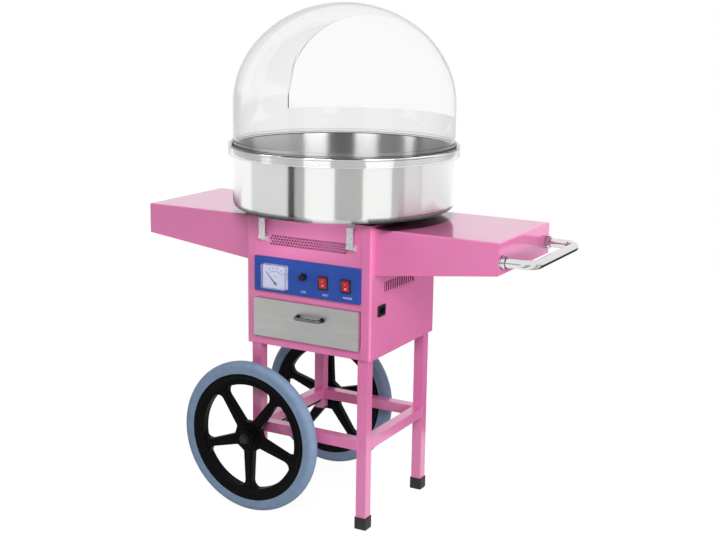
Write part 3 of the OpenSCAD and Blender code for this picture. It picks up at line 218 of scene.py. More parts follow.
low = (0.55, 2.9, 3.0, 3.0), (0.001, 0.001, 0.1, 1.3)
right_floor = (0.6, 3.4), (0.002, 0.002)
# Black cards on the trays under the bowl's foot, seen in mirrors only: painted shade of the gap.
painted_shade_foot, painted_shade_foot_tip = ((0.2, 0.3), (0.7085, 0.7085)), ((0.2, 0.262), (0.7085, 0.7085))
high = (2.4, 2.4), (0.9, 3.4)
for bearings, profile, through_dome, grey in (
    ((-26.1, -19.0), low, False, 0.0), ((-19.0, -8.5), low, False, 0.43), ((21.0, 48.0), low, False, 0.44),
    ((77.0, 91.0), low, False, 0.52), ((91.0, 112.0), low, False, 0.75), ((-75.0, -26.1), low, False, 0.72),
    ((112.0, 176.0), right_floor, False, 0.05),
    # Black cards under the bowl's foot: painted shade that the foot mirrors.
    ((43.0, 132.0), painted_shade_foot, False, 0.0), ((34.0, 43.0), painted_shade_foot_tip, False, 0.0),
    ((-132.0, 3.0), painted_shade_foot, False, 0.0), ((3.0, 13.0), painted_shade_foot_tip, False, 0.0),
    ((-115.0, -57.0), high, True, 0.02), ((-57.0, -45.0), high, True, 3.4), ((-45.0, -9.0), high, True, 0.3),
    ((-9.0, 17.0), high, True, 3.7), ((17.0, 50.0), high, True, 0.02), ((50.0, 77.0), high, True, 4.0),
    ((77.0, 92.0), high, True, 0.9), ((92.0, 150.0), high, True, 1.8),
):
    card_paper, tree = bare_material("studio_card_paper")
    path = add_node(tree, "ShaderNodeLightPath").outputs
    lights_up = add_node(tree, "ShaderNodeNewGeometry").outputs["Backfacing"]
    tests = [("Glossy Depth", 0.5, "GREATER_THAN")]
    if through_dome:
        tests += [("Glossy Depth", 1.5, "LESS_THAN"), ("Transmission Depth", 2.5, "GREATER_THAN")]
    else:
        tests += [("Transmission Depth", 0.5, "LESS_THAN")]
    for depth, limit, test in tests:
        passed = add_node(tree, "ShaderNodeMath", {0: path[depth], 1: limit}, operation=test).outputs[0]
        so_far = add_node(tree, "ShaderNodeMath", {0: lights_up, 1: passed}, operation="MULTIPLY")
        lights_up = so_far.outputs[0]
    unseen = add_node(tree, "ShaderNodeBsdfTransparent")
    paper = add_node(tree, "ShaderNodeEmission", {"Color": (1, 1, 1, 1), "Strength": grey})
    showing = add_node(
        tree, "ShaderNodeMixShader", {0: lights_up, 1: unseen.outputs[0], 2: paper.outputs[0]}
    )
    add_node(tree, "ShaderNodeOutputMaterial", {"Surface": showing.outputs[0]})
    card = bpy.data.objects.new("studio_card", card_mesh(*bearings, *profile))
    card.data.materials.append(card_paper)
    bpy.context.scene.collection.objects.link(card)
    card.visible_camera = card.visible_diffuse = card.visible_shadow = card.visible_volume_scatter = False

# Two black flags, which only cast shade, keep stray light out of the gap between the bowl and the trays.
# They follow the foot of the bowl over each tray.
black_cloth, tree = bare_material("black_flag_cloth")
cloth = add_node(tree, "ShaderNodeBsdfDiffuse", {"Color": (0, 0, 0, 1)})
add_node(tree, "ShaderNodeOutputMaterial", {"Surface": cloth.outputs[0]})
flag_profile = (0.256, 0.256), (0.7075, 0.7265)
for bearings in ((47.0, 133.0), (-133.0, -47.0)):
    flag = bpy.data.objects.new("studio_flag", card_mesh(*bearings, *flag_profile))
    flag.data.materials.append(black_cloth)
    bpy.context.scene.collection.objects.link(flag)
    flag.visible_camera = flag.visible_glossy = flag.visible_transmission = False

# Two nets of thin black cloth take some of the light from the left legs: one before them, one to their right.
# Each net is an upright sheet over a line on the ground, from under the housing to below the rails.
net_cloth, tree = bare_material("black_net_cloth")
net_share, net_foot, net_top = 0.28, 0.14, 0.4
holes = add_node(tree, "ShaderNodeBsdfTransparent")
threads = add_node(tree, "ShaderNodeBsdfDiffuse", {"Color": (0, 0, 0, 1)})
net = add_node(tree, "ShaderNodeMixShader", {0: net_share, 1: holes.outputs[0], 2: threads.outputs[0]})
add_node(tree, "ShaderNodeOutputMaterial", {"Surface": net.outputs[0]})
for (x0, y0), (x1, y1) in (((-0.205, -0.160), (-0.03, -0.160)), ((-0.06, -0.155), (-0.06, 0.155))):
    sheet = bpy.data.meshes.new("studio_net")
    sheet.from_pydata(
        [(x0, y0, net_foot), (x1, y1, net_foot), (x1, y1, net_top), (x0, y0, net_top)], [], [(0, 1, 2, 3)]
    )
    sheet.materials.append(net_cloth)
    flag = bpy.data.objects.new("studio_net", sheet)
    bpy.context.scene.collection.objects.link(flag)
    flag.visible_camera = flag.visible_glossy = flag.visible_transmission = False


# The frame and the housing: square steel tube and folded sheet, sprayed with one pink powder coat.
# Baked powder flows into a glossy skin with a shallow orange peel, which is what catches the lamps.
def new_finish(name):
    """A new material with one Principled shader on its surface; gives material, tree and shader."""
    made, tree = bare_material(name)
    shader = add_node(tree, "ShaderNodeBsdfPrincipled")
    add_node(tree, "ShaderNodeOutputMaterial", {"Surface": shader.outputs[0]})
    return made, tree, shader


def drive(tree, shader, **sockets):
    """Sets or links the shader's inputs; an underscore stands for the blank in an input's name."""
    for name, value in sockets.items():
        socket = shader.inputs[name.replace("_", " ")]
        if isinstance(value, bpy.types.NodeSocket):
            tree.links.new(value, socket)
        else:
            socket.default_value = value


def dress(finish, *names):
    """Gives CAD solids a finish through their material slots; the meshes stay as they are."""
    for name in names:
        for slot in solids[name].material_slots:
            slot.material = finish


mm = 0.001
pink_paint, tree, shader = new_finish("pink_powder_coat")
place = add_node(tree, "ShaderNodeTexCoord").outputs["Object"]
peel = add_node(tree, "ShaderNodeTexNoise", {"Vector": place, "Scale": 1 / (3.2 * mm), "Detail": 1.0})
cloud = add_node(tree, "ShaderNodeTexNoise", {"Vector": place, "Scale": 1 / (90 * mm), "Detail": 3.0})
shade = add_node(
    tree, "ShaderNodeMapRange", {"Value": cloud.outputs["Fac"], "From Min": 0.3, "From Max": 0.7}
)
coat_colour = add_node(
    tree, "ShaderNodeMix",
    {0: shade.outputs[0], 6: linear("#DD76AB"), 7: linear("#E17BB0")}, data_type="RGBA",
)
gloss = add_node(
    tree, "ShaderNodeMapRange",
    {"Value": cloud.outputs["Fac"], "From Min": 0.3, "From Max": 0.7, "To Min": 0.30, "To Max": 0.40},
)
skin = add_node(
    tree, "ShaderNodeBump", {"Strength": 0.12, "Distance": 0.4 * mm, "Height": peel.outputs["Fac"]}
)
drive(tree, shader, Base_Color=coat_colour.outputs[2], Roughness=gloss.outputs[0], Normal=skin.outputs[0],
      IOR=1.5, Coat_Weight=0.9, Coat_Roughness=0.1)
dress(
    pink_paint, "leg_front_left", "leg_rear_left", "leg_front_right", "leg_rear_right",
    "long_rails", "cross_rails", "base_plate", "side_panel_left", "side_panel_right", "front_panel",
    "rear_cover", "top_plate", "front_vent", "side_vents", "tray_left", "tray_right",
)


# Weld beads: each rail is welded to its legs all round its square end, and painted over with the frame.
# The bead follows a rounded square, and its ripples are the weld's steps of about 2.5 mm.
def closed_mesh(name, points, quads):
    """A smooth mesh of quads over points: those that meet at a seam or a pole are merged,
    and its faces point outwards."""
    mesh = bpy.data.meshes.new(name)
    mesh.from_pydata(points.tolist(), [], quads.tolist())
    joined = bmesh.new()
    joined.from_mesh(mesh)
    bmesh.ops.remove_doubles(joined, verts=joined.verts, dist=2e-6)
    bmesh.ops.recalc_face_normals(joined, faces=joined.faces)
    joined.to_mesh(mesh)
    joined.free()
    mesh.shade_smooth()
    return mesh


def grid_mesh(name, points, wrap_rows=False, wrap_columns=False):
    """A mesh over grids of points[piece, row, column]: each point joins its next row and next column.
    A wrapped direction joins its last line to its first."""
    index = np.arange(points[..., 0].size).reshape(points.shape[:3])
    if wrap_rows:
        index = np.concatenate([index, index[:, :1]], 1)
    if wrap_columns:
        index = np.concatenate([index, index[:, :, :1]], 2)
    quads = np.stack([index[:, :-1, :-1], index[:, 1:, :-1], index[:, 1:, 1:], index[:, :-1, 1:]], -1)
    return closed_mesh(name, points.reshape(-1, 3), quads.reshape(-1, 4))


def add_piece(name, mesh, finish, body):
    """Puts a finished mesh into the scene as a piece that moves with a body and takes a slot's finish."""
    mesh.materials.append(finish)
    piece = bpy.data.objects.new(name, mesh)
    bpy.context.scene.collection.objects.link(piece)
    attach(piece, body)
    return piece


def weld_loops(centres, axis, half, bead_r):
    """Beads round square tube ends. At angle t round the loop, the centre line lies
    half / (|cos t|^n + |sin t|^n)^(1/n) from the tube's middle, which makes a square with rounded corners.
    The bead's section is a circle that swells at each ripple."""
    n, ripples = 14, 40
    t = np.linspace(0, 2 * np.pi, 160, endpoint=False)[None, :]
    p = np.linspace(0, 2 * np.pi, 8, endpoint=False)[:, None]
    out = half / (np.abs(np.cos(t)) ** n + np.abs(np.sin(t)) ** n) ** (1 / n)
    swell = bead_r * (1 + 0.14 * np.sin(ripples * t))
    reach = out + swell * np.cos(p)
    loop = np.stack([swell * np.sin(p) + 0 * t, reach * np.cos(t), reach * np.sin(t)], -1)
    if axis == 1:
        loop = loop[..., [1, 0, 2]]
    return np.asarray(centres)[:, None, None] + loop


leg_x, leg_y, tube_half = 0.142, 0.142, 0.0125
rail_z = 0.2025
bead_half, bead_r = tube_half - 0.4 * mm, 1.5 * mm
inner_x, inner_y = leg_x - tube_half, leg_y - tube_half
long_ends = [(machine_x + sx * inner_x, sy * leg_y, rail_z) for sx in (-1, 1) for sy in (-1, 1)]
cross_ends = [(machine_x + sx * leg_x, sy * inner_y, rail_z) for sx in (-1, 1) for sy in (-1, 1)]
beads = np.concatenate([
    weld_loops(long_ends, 0, bead_half, bead_r), weld_loops(cross_ends, 1, bead_half, bead_r),
])
add_piece("rail_welds", grid_mesh("rail_welds", beads, True, True), pink_paint, "cart")

# Foot caps and leg plugs: moulded black rubber pushed over or into the tube ends.
# Moulded rubber is dull, with a fine pitted skin and patches of grey dust.
foot_rubber, tree, shader = new_finish("moulded_black_rubber")
place = add_node(tree, "ShaderNodeTexCoord").outputs["Object"]
pits = add_node(tree, "ShaderNodeTexNoise", {"Vector": place, "Scale": 1 / (1.6 * mm), "Detail": 2.0})
dust = add_node(tree, "ShaderNodeTexNoise", {"Vector": place, "Scale": 1 / (14 * mm), "Detail": 4.0})
dusty = add_node(
    tree, "ShaderNodeMapRange", {"Value": dust.outputs["Fac"], "From Min": 0.45, "From Max": 0.8}
)
rubber_colour = add_node(
    tree, "ShaderNodeMix",
    {0: dusty.outputs[0], 6: linear("#17131A"), 7: linear("#2A242B")}, data_type="RGBA",
)
skin = add_node(
    tree, "ShaderNodeBump", {"Strength": 0.25, "Distance": 0.2 * mm, "Height": pits.outputs["Fac"]}
)
drive(tree, shader, Base_Color=rubber_colour.outputs[2], Roughness=0.62, Normal=skin.outputs[0], IOR=1.52)
dress(foot_rubber, "foot_caps", "bowl_gasket")

# Tray bolts, drawer and shaft: pressed, folded and turned steel, zinc plated.
# Bright zinc is a cool grey with faint crystals a few millimetres wide.
zinc_plate, tree, shader = new_finish("bright_zinc_plated_steel")
place = add_node(tree, "ShaderNodeTexCoord").outputs["Object"]
crystals = add_node(tree, "ShaderNodeTexVoronoi", {"Vector": place, "Scale": 1 / (3 * mm)})
zinc_colour = add_node(
    tree, "ShaderNodeMix",
    {0: crystals.outputs["Color"], 6: linear("#A9ACB0"), 7: linear("#C2C4C6")}, data_type="RGBA",
)
dulled = add_node(
    tree, "ShaderNodeMapRange", {"Value": crystals.outputs["Distance"], "To Min": 0.24, "To Max": 0.42}
)
drive(tree, shader, Base_Color=zinc_colour.outputs[2], Metallic=1.0, Roughness=dulled.outputs[0])
dress(zinc_plate, "tray_bolts", "drawer_runners", "drawer_box", "motor_bracket", "spinner_shaft")

# Axle, spacers, washers and nuts: turned steel, blackened in a hot oxide bath and oiled.
# The oxide is thin, so the steel shows through it in patches of dull grey.
black_oxide, tree, shader = new_finish("black_oxide_steel")
place = add_node(tree, "ShaderNodeTexCoord").outputs["Object"]
bath = add_node(tree, "ShaderNodeTexNoise", {"Vector": place, "Scale": 1 / (5 * mm), "Detail": 3.0})
oxide_colour = add_node(
    tree, "ShaderNodeMix",
    {0: bath.outputs["Fac"], 6: linear("#26252A"), 7: linear("#3B3A40")}, data_type="RGBA",
)
oiled = add_node(
    tree, "ShaderNodeMapRange",
    {"Value": bath.outputs["Fac"], "From Min": 0.3, "From Max": 0.7, "To Min": 0.3, "To Max": 0.48},
)
drive(tree, shader, Base_Color=oxide_colour.outputs[2], Metallic=0.6, Roughness=oiled.outputs[0])
dress(black_oxide, "axle", "axle_fittings")

# Wheels: each rim is one moulding in black nylon, with five ribbed spokes between rounded windows.
# Moulded nylon has a fine spark-eroded grain that breaks its highlights up.
black_nylon, tree, shader = new_finish("moulded_black_nylon")
place = add_node(tree, "ShaderNodeTexCoord").outputs["Object"]
grain = add_node(tree, "ShaderNodeTexNoise", {"Vector": place, "Scale": 1 / (1.2 * mm), "Detail": 2.0})
flow = add_node(tree, "ShaderNodeTexNoise", {"Vector": place, "Scale": 1 / (40 * mm), "Detail": 2.0})
nylon_colour = add_node(
    tree, "ShaderNodeMix",
    {0: flow.outputs["Fac"], 6: linear("#060607"), 7: linear("#0B0A0C")}, data_type="RGBA",
)
skin = add_node(
    tree, "ShaderNodeBump", {"Strength": 0.2, "Distance": 0.15 * mm, "Height": grain.outputs["Fac"]}
)
drive(tree, shader, Base_Color=nylon_colour.outputs[2], Roughness=0.46, Normal=skin.outputs[0], IOR=1.16)
dress(black_nylon, "front_wheel_rim", "rear_wheel_rim")

# Tyres: solid grey-blue foam rubber, moulded smooth, with rounded shoulders.
# The skin is dull and slightly mottled, with pores under two millimetres wide.
grey_tyre, tree, shader = new_finish("solid_grey_tyre_rubber")
place = add_node(tree, "ShaderNodeTexCoord").outputs["Object"]
mottle = add_node(tree, "ShaderNodeTexNoise", {"Vector": place, "Scale": 1 / (22 * mm), "Detail": 4.0})
pores = add_node(tree, "ShaderNodeTexNoise", {"Vector": place, "Scale": 1 / (1.8 * mm), "Detail": 1.0})
tone = add_node(
    tree, "ShaderNodeMapRange", {"Value": mottle.outputs["Fac"], "From Min": 0.3, "From Max": 0.7}
)
tyre_colour = add_node(
    tree, "ShaderNodeMix",
    {0: tone.outputs[0], 6: linear("#7287A4"), 7: linear("#7D92AC")}, data_type="RGBA",
)
skin = add_node(
    tree, "ShaderNodeBump", {"Strength": 0.2, "Distance": 0.25 * mm, "Height": pores.outputs["Fac"]}
)
drive(tree, shader, Base_Color=tyre_colour.outputs[2], Roughness=0.58, Normal=skin.outputs[0], IOR=1.5)
dress(grey_tyre, "front_tyre", "rear_tyre")

# Control panel: a folded steel pan in blue stoving paint, set between the flanges of the housing.
# The paint is satin, thinner than the powder coat, with a finer peel.
blue_paint, tree, shader = new_finish("blue_stoving_paint")
place = add_node(tree, "ShaderNodeTexCoord").outputs["Object"]
peel = add_node(tree, "ShaderNodeTexNoise", {"Vector": place, "Scale": 1 / (2.0 * mm), "Detail": 1.0})
cloud = add_node(tree, "ShaderNodeTexNoise", {"Vector": place, "Scale": 1 / (60 * mm), "Detail": 3.0})
shade = add_node(
    tree, "ShaderNodeMapRange", {"Value": cloud.outputs["Fac"], "From Min": 0.3, "From Max": 0.7}
)
panel_colour = add_node(
    tree, "ShaderNodeMix",
    {0: shade.outputs[0], 6: linear("#28499E"), 7: linear("#2E50A6")}, data_type="RGBA",
)
skin = add_node(
    tree, "ShaderNodeBump", {"Strength": 0.1, "Distance": 0.25 * mm, "Height": peel.outputs["Fac"]}
)
drive(tree, shader, Base_Color=panel_colour.outputs[2], Roughness=0.45, Normal=skin.outputs[0], IOR=1.42)
dress(blue_paint, "control_panel")

# Voltmeter: a white moulded case with a printed dial, a black needle on a pivot and a clear lens.
# The scale is printed as an arc of ticks with a figure at every fifth one.
white_case, tree, shader = new_finish("moulded_white_abs")
place = add_node(tree, "ShaderNodeTexCoord").outputs["Object"]
cloud = add_node(tree, "ShaderNodeTexNoise", {"Vector": place, "Scale": 1 / (12 * mm), "Detail": 3.0})
case_colour = add_node(
    tree, "ShaderNodeMix",
    {0: cloud.outputs["Fac"], 6: linear("#B7B9D3"), 7: linear("#C1C3DD")}, data_type="RGBA",
)
grain = add_node(tree, "ShaderNodeTexNoise", {"Vector": place, "Scale": 1 / (0.8 * mm), "Detail": 1.0})
skin = add_node(
    tree, "ShaderNodeBump", {"Strength": 0.08, "Distance": 0.1 * mm, "Height": grain.outputs["Fac"]}
)
drive(tree, shader, Base_Color=case_colour.outputs[2], Roughness=0.38, Normal=skin.outputs[0], IOR=1.53)
dress(white_case, "meter_case", "meter_dial")

needle_black, tree, shader = new_finish("black_needle_paint")
place = add_node(tree, "ShaderNodeTexCoord").outputs["Object"]
fleck = add_node(tree, "ShaderNodeTexNoise", {"Vector": place, "Scale": 1 / (2 * mm)})
ink_colour = add_node(
    tree, "ShaderNodeMix",
    {0: fleck.outputs["Fac"], 6: linear("#121214"), 7: linear("#1E1E21")}, data_type="RGBA",
)
drive(tree, shader, Base_Color=ink_colour.outputs[2], Roughness=0.45)
dress(needle_black, "meter_needle")

clear_acrylic, tree, shader = new_finish("clear_moulded_acrylic")
drive(tree, shader, Base_Color=(1, 1, 1, 1), Transmission_Weight=1.0, Roughness=0.0, IOR=1.49)
dress(clear_acrylic, "meter_lens")
solids["meter_lens"].visible_shadow = False

control_z, meter_x = 0.5746475, machine_x - 0.080759
post_h, pivot_drop, print_t = 1.9 * mm, 15.39 * mm, 0.08 * mm
pivot = np.array([meter_x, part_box("meter_dial")[0].y + post_h, control_z - pivot_drop])
tick_count, figure_every, tick_half = 26, 5, 0.22 * mm
arc_in, arc_out, short_tick, long_tick, figure_r = 26.9 * mm, 27.4 * mm, 29.2 * mm, 31.0 * mm, 34.6 * mm
swing = np.radians(np.linspace(-45, 45, tick_count))
arc_half = np.radians([45.4])


def dial_sectors(inner, outer, middle, half):
    """Flat marks on the dial: radius from inner to outer, angle from middle - half to middle + half,
    clockwise from upright, each a slab as thick as the print that stands on the dial's face."""
    r = np.stack(np.broadcast_arrays(inner, inner, outer, outer), -1)[:, None, :]
    lift = np.array([0, print_t, print_t, 0])
    a = middle[:, None, None] + half[:, None, None] * np.linspace(-1, 1, 9)[None, :, None]
    return np.stack([
        pivot[0] + r * np.sin(a), pivot[1] - lift + 0 * r * a, pivot[2] + r * np.cos(a),
    ], -1)


tick_out = np.where(np.arange(tick_count) % figure_every == 0, long_tick, short_tick)
ticks = dial_sectors(np.full(tick_count, arc_out), tick_out, swing, tick_half / tick_out)
scale_arc = dial_sectors(np.array([arc_in]), np.array([arc_out]), np.zeros(1), arc_half)
marks = grid_mesh("dial_scale", np.concatenate([ticks, scale_arc]), False, True)
add_piece("dial_scale", marks, needle_black, "cart")


def word_mesh(text, height, middle, across, upward, thick):
    """A word as a mesh of its own, its capitals so high, centred on a point of the surface it is printed on.
    Across and upward lie in that surface, and its thickness stands out of it."""
    curve = bpy.data.curves.new("word", "FONT")
    curve.body = text
    curve.align_x = "CENTER"
    curve.align_y = "CENTER"
    capital_share = 0.7
    curve.size = height / capital_share
    curve.extrude = thick / 2
    curve.resolution_u = 3
    holder = bpy.data.objects.new("word", curve)
    mesh = bpy.data.meshes.new_from_object(holder)
    bpy.data.objects.remove(holder)
    bpy.data.curves.remove(curve)
    across, upward = np.array(across, float), np.array(upward, float)
    out = np.cross(across, upward)
    points = np.zeros(len(mesh.vertices) * 3, np.float32)
    mesh.vertices.foreach_get("co", points)
    points = points.reshape(-1, 3)
    points[:, :2] -= (points[:, :2].max(0) + points[:, :2].min(0)) / 2
    points[:, 2] += thick / 2
    points = np.asarray(middle) + points @ np.stack([across, upward, out])
    mesh.vertices.foreach_set("co", points.astype(np.float32).ravel())
    mesh.materials.clear()
    return mesh


for k, volts in enumerate((0, 50, 100, 150, 200, 250)):
    a = swing[figure_every * k]
    outward, sideways = np.array([math.sin(a), 0, math.cos(a)]), (math.cos(a), 0, -math.sin(a))
    figure = word_mesh(str(volts), 3.2 * mm, pivot + figure_r * outward, sideways, outward, print_t)
    add_piece(f"dial_figure_{volts}", figure, needle_black, "cart")
unit = word_mesh("V", 5.5 * mm, pivot + np.array([0, 0, 15 * mm]), (1, 0, 0), (0, 0, 1), print_t)
add_piece("dial_unit", unit, needle_black, "cart")

# Fuse holder, switch frames and power inlet: black thermoplastic mouldings pushed through the sheet.
# A fine moulded grain breaks up the shine, and the black is a little paler where it is rubbed.
black_plastic, tree, shader = new_finish("moulded_black_thermoplastic")
place = add_node(tree, "ShaderNodeTexCoord").outputs["Object"]
grain = add_node(tree, "ShaderNodeTexNoise", {"Vector": place, "Scale": 1 / (0.9 * mm), "Detail": 2.0})
rub = add_node(tree, "ShaderNodeTexNoise", {"Vector": place, "Scale": 1 / (9 * mm), "Detail": 2.0})
plastic_colour = add_node(
    tree, "ShaderNodeMix",
    {0: rub.outputs["Fac"], 6: linear("#141317"), 7: linear("#201E24")}, data_type="RGBA",
)
skin = add_node(
    tree, "ShaderNodeBump", {"Strength": 0.15, "Distance": 0.1 * mm, "Height": grain.outputs["Fac"]}
)
drive(tree, shader, Base_Color=plastic_colour.outputs[2], Roughness=0.4, Normal=skin.outputs[0], IOR=1.53)
dress(black_plastic, "fuse_holder", "fuse_cap", "switch_frames", "power_inlet", "brush_block")

# Rockers: red polycarbonate, moulded glossy, each on two small trunnions, with I and O printed on its halves.
# The red is slightly uneven, as in most mouldings, under a hard shine.
red_rocker, tree, shader = new_finish("glossy_red_polycarbonate")
place = add_node(tree, "ShaderNodeTexCoord").outputs["Object"]
cloud = add_node(tree, "ShaderNodeTexNoise", {"Vector": place, "Scale": 1 / (8 * mm), "Detail": 2.0})
rocker_colour = add_node(
    tree, "ShaderNodeMix",
    {0: cloud.outputs["Fac"], 6: linear("#B81F2C"), 7: linear("#C62B38")}, data_type="RGBA",
)
drive(tree, shader, Base_Color=rocker_colour.outputs[2], Roughness=0.24, IOR=1.58)
dress(red_rocker, "heat_rocker", "power_rocker")

print_white, tree, shader = new_finish("white_screen_print")
place = add_node(tree, "ShaderNodeTexCoord").outputs["Object"]
speck = add_node(tree, "ShaderNodeTexNoise", {"Vector": place, "Scale": 1 / (1.5 * mm)})
print_colour = add_node(
    tree, "ShaderNodeMix",
    {0: speck.outputs["Fac"], 6: linear("#E4E4EA"), 7: linear("#F4F4F8")}, data_type="RGBA",
)
drive(tree, shader, Base_Color=print_colour.outputs[2], Roughness=0.5)

rest_tilt = math.radians(10)
trunnion_y = -0.1665
half_length, half_rise = 10.62, 2.0
sign_up, sign_out = 5.3, 5.0
tilted_up = np.array([0, -math.sin(rest_tilt), math.cos(rest_tilt)])
tilted_out = np.array([0, -math.cos(rest_tilt), -math.sin(rest_tilt)])
for switch, switch_x in (("heat", machine_x + 0.045314), ("power", machine_x + 0.10425)):
    trunnion = np.array([switch_x, trunnion_y, control_z])
    for sign, state, side in (("I", "on", 1), ("O", "off", -1)):
        run = side * half_length * tilted_up + half_rise * tilted_out
        run /= np.linalg.norm(run)
        middle = trunnion + mm * (side * sign_up * tilted_up + sign_out * tilted_out)
        sign_mesh = word_mesh(sign, 4.4 * mm, middle, (1, 0, 0), side * run, print_t)
        add_piece(f"{switch}_sign_{state}", sign_mesh, print_white, f"{switch}_switch")

# Words on the control panel, screen printed in white under each control.
# The ink is a raised film, and stands on the panel's front face.
panel_face_y, words_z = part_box("control_panel")[0].y, 0.5475
for word, word_x in (("FUSE", -0.0062), ("HEAT", 0.0518), ("POWER", 0.1086)):
    middle = (machine_x + word_x, panel_face_y, words_z)
    print_mesh = word_mesh(word, 4.6 * mm, middle, (1, 0, 0), (0, 0, 1), print_t)
    add_piece(f"word_{word.lower()}", print_mesh, print_white, "cart")

# Drawer: folded from bare steel sheet, brushed along its length, and run on two folded ledges.
# The brush lines are finer than the picture shows, so they are drawn about 1.2 mm apart.
drawer_steel, tree, shader = new_finish("brushed_bare_steel")
place = add_node(tree, "ShaderNodeTexCoord").outputs["Object"]
stretched = add_node(
    tree, "ShaderNodeMapping", {"Vector": place, "Scale": (1 / (70 * mm), 1 / (1.2 * mm), 1 / (1.2 * mm))}
)
brush = add_node(tree, "ShaderNodeTexNoise", {"Vector": stretched.outputs[0], "Scale": 1.0, "Detail": 3.0})
wide = add_node(
    tree, "ShaderNodeMapping", {"Vector": place, "Scale": (1 / (160 * mm), 1 / (25 * mm), 1 / (14 * mm))}
)
sheen = add_node(tree, "ShaderNodeTexNoise", {"Vector": wide.outputs[0], "Scale": 1.0, "Detail": 2.0})
streak = add_node(
    tree, "ShaderNodeMath", {0: brush.outputs["Fac"], 1: sheen.outputs["Fac"]}, operation="ADD"
)
tone = add_node(tree, "ShaderNodeMapRange", {"Value": streak.outputs[0], "From Min": 0.7, "From Max": 1.3})
steel_colour = add_node(
    tree, "ShaderNodeMix",
    {0: tone.outputs[0], 6: linear("#D3D3D1"), 7: linear("#E0E0DE")}, data_type="RGBA",
)
rough = add_node(
    tree, "ShaderNodeMapRange",
    {"Value": brush.outputs["Fac"], "From Min": 0.3, "From Max": 0.7, "To Min": 0.34, "To Max": 0.5},
)
lines = add_node(
    tree, "ShaderNodeBump", {"Strength": 0.1, "Distance": 0.1 * mm, "Height": brush.outputs["Fac"]}
)
drive(tree, shader, Base_Color=steel_colour.outputs[2], Metallic=1.0, Roughness=rough.outputs[0],
      Normal=lines.outputs[0])
dress(drawer_steel, "drawer_front")

# Push handle: a bent steel tube, chrome plated, held in two flanged sockets on the tray's end.
# Chrome is a bright cool mirror, with only a breath of haze from handling.
handle_chrome, tree, shader = new_finish("chrome_plated_tube")
place = add_node(tree, "ShaderNodeTexCoord").outputs["Object"]
haze = add_node(tree, "ShaderNodeTexNoise", {"Vector": place, "Scale": 1 / (30 * mm), "Detail": 3.0})
hazy = add_node(
    tree, "ShaderNodeMapRange",
    {"Value": haze.outputs["Fac"], "From Min": 0.35, "From Max": 0.7, "To Min": 0.05, "To Max": 0.14},
)
chrome_colour = add_node(
    tree, "ShaderNodeMix",
    {0: haze.outputs["Fac"], 6: linear("#DADBDC"), 7: linear("#E3E3E3")}, data_type="RGBA",
)
drive(tree, shader, Base_Color=chrome_colour.outputs[2], Metallic=1.0, Roughness=hazy.outputs[0])
dress(handle_chrome, "handle_bar", "handle_flanges")

# Drawer pull: chrome wire, its colour painted dark grey as painted shade and dark reflection on the pull.
pull_chrome_painted_dark, tree, shader = new_finish("chrome_wire_painted_dark")
place = add_node(tree, "ShaderNodeTexCoord").outputs["Object"]
haze = add_node(tree, "ShaderNodeTexNoise", {"Vector": place, "Scale": 1 / (3 * mm), "Detail": 2.0})
pull_colour_painted_dark = add_node(
    tree, "ShaderNodeMix",
    {0: haze.outputs["Fac"], 6: linear("#78787B"), 7: linear("#868689")}, data_type="RGBA",
)
drive(tree, shader, Base_Color=pull_colour_painted_dark.outputs[2], Metallic=1.0, Roughness=0.16)
dress(pull_chrome_painted_dark, "drawer_pull")


# Screws: zinc-plated pan heads with a cross recess, one on each handle socket and six in the rear cover.
# Only the heads are made; the threads would be hidden.
def pan_heads(centres, axis, head_r, head_h):
    """Pan-head screws. Over the polar grid (r, t) the height is head_h (1 - 0.35 (r/R)^4), less a recess
    half as deep as the head: a cross, where the nearer of |x| and |y| is under about a tenth of R
    and the farther under half of R. The last rows go down to the seat."""
    share = np.concatenate([np.linspace(0, 0.6, 13), [0.68, 0.76, 0.84, 0.91, 0.96, 1.0, 1.0, 0.0]])[:, None]
    t = np.linspace(0, 2 * np.pi, 48, endpoint=False)[None, :]
    x, y = share * np.cos(t), share * np.sin(t)
    near, far = np.minimum(np.abs(x), np.abs(y)), np.maximum(np.abs(x), np.abs(y))
    recess = np.clip((0.15 - near) / 0.06, 0, 1) * np.clip((0.55 - far) / 0.1, 0, 1)
    height = head_h * (1 - 0.35 * share ** 4 - 0.5 * recess)
    height[-2:] = -0.05 * mm
    head = np.stack([x * head_r, y * head_r, height + 0 * x], -1)
    turned = {"+z": head, "+y": head[..., [1, 2, 0]]}[axis]
    return np.asarray(centres)[:, None, None] + turned


socket_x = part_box("tray_right")[1].x + 8 * mm
handle_y, handle_z, socket_r = 0.131, 0.664, 13.5 * mm
socket_screws = [(socket_x, sy * handle_y, handle_z + socket_r - 0.2 * mm) for sy in (-1, 1)]
heads = pan_heads(socket_screws, "+z", 2.4 * mm, 1.6 * mm)
add_piece("handle_screws", grid_mesh("handle_screws", heads, False, True), zinc_plate, "cart")
cover_x, cover_y = 0.146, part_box("side_panel_left")[1].y
cover_screws = [(machine_x + sx * cover_x, cover_y, z) for sx in (-1, 1) for z in (0.435, 0.56, 0.685)]
heads = pan_heads(cover_screws, "+y", 4.2 * mm, 2.4 * mm)
add_piece("cover_screws", grid_mesh("cover_screws", heads, False, True), zinc_plate, "cart")

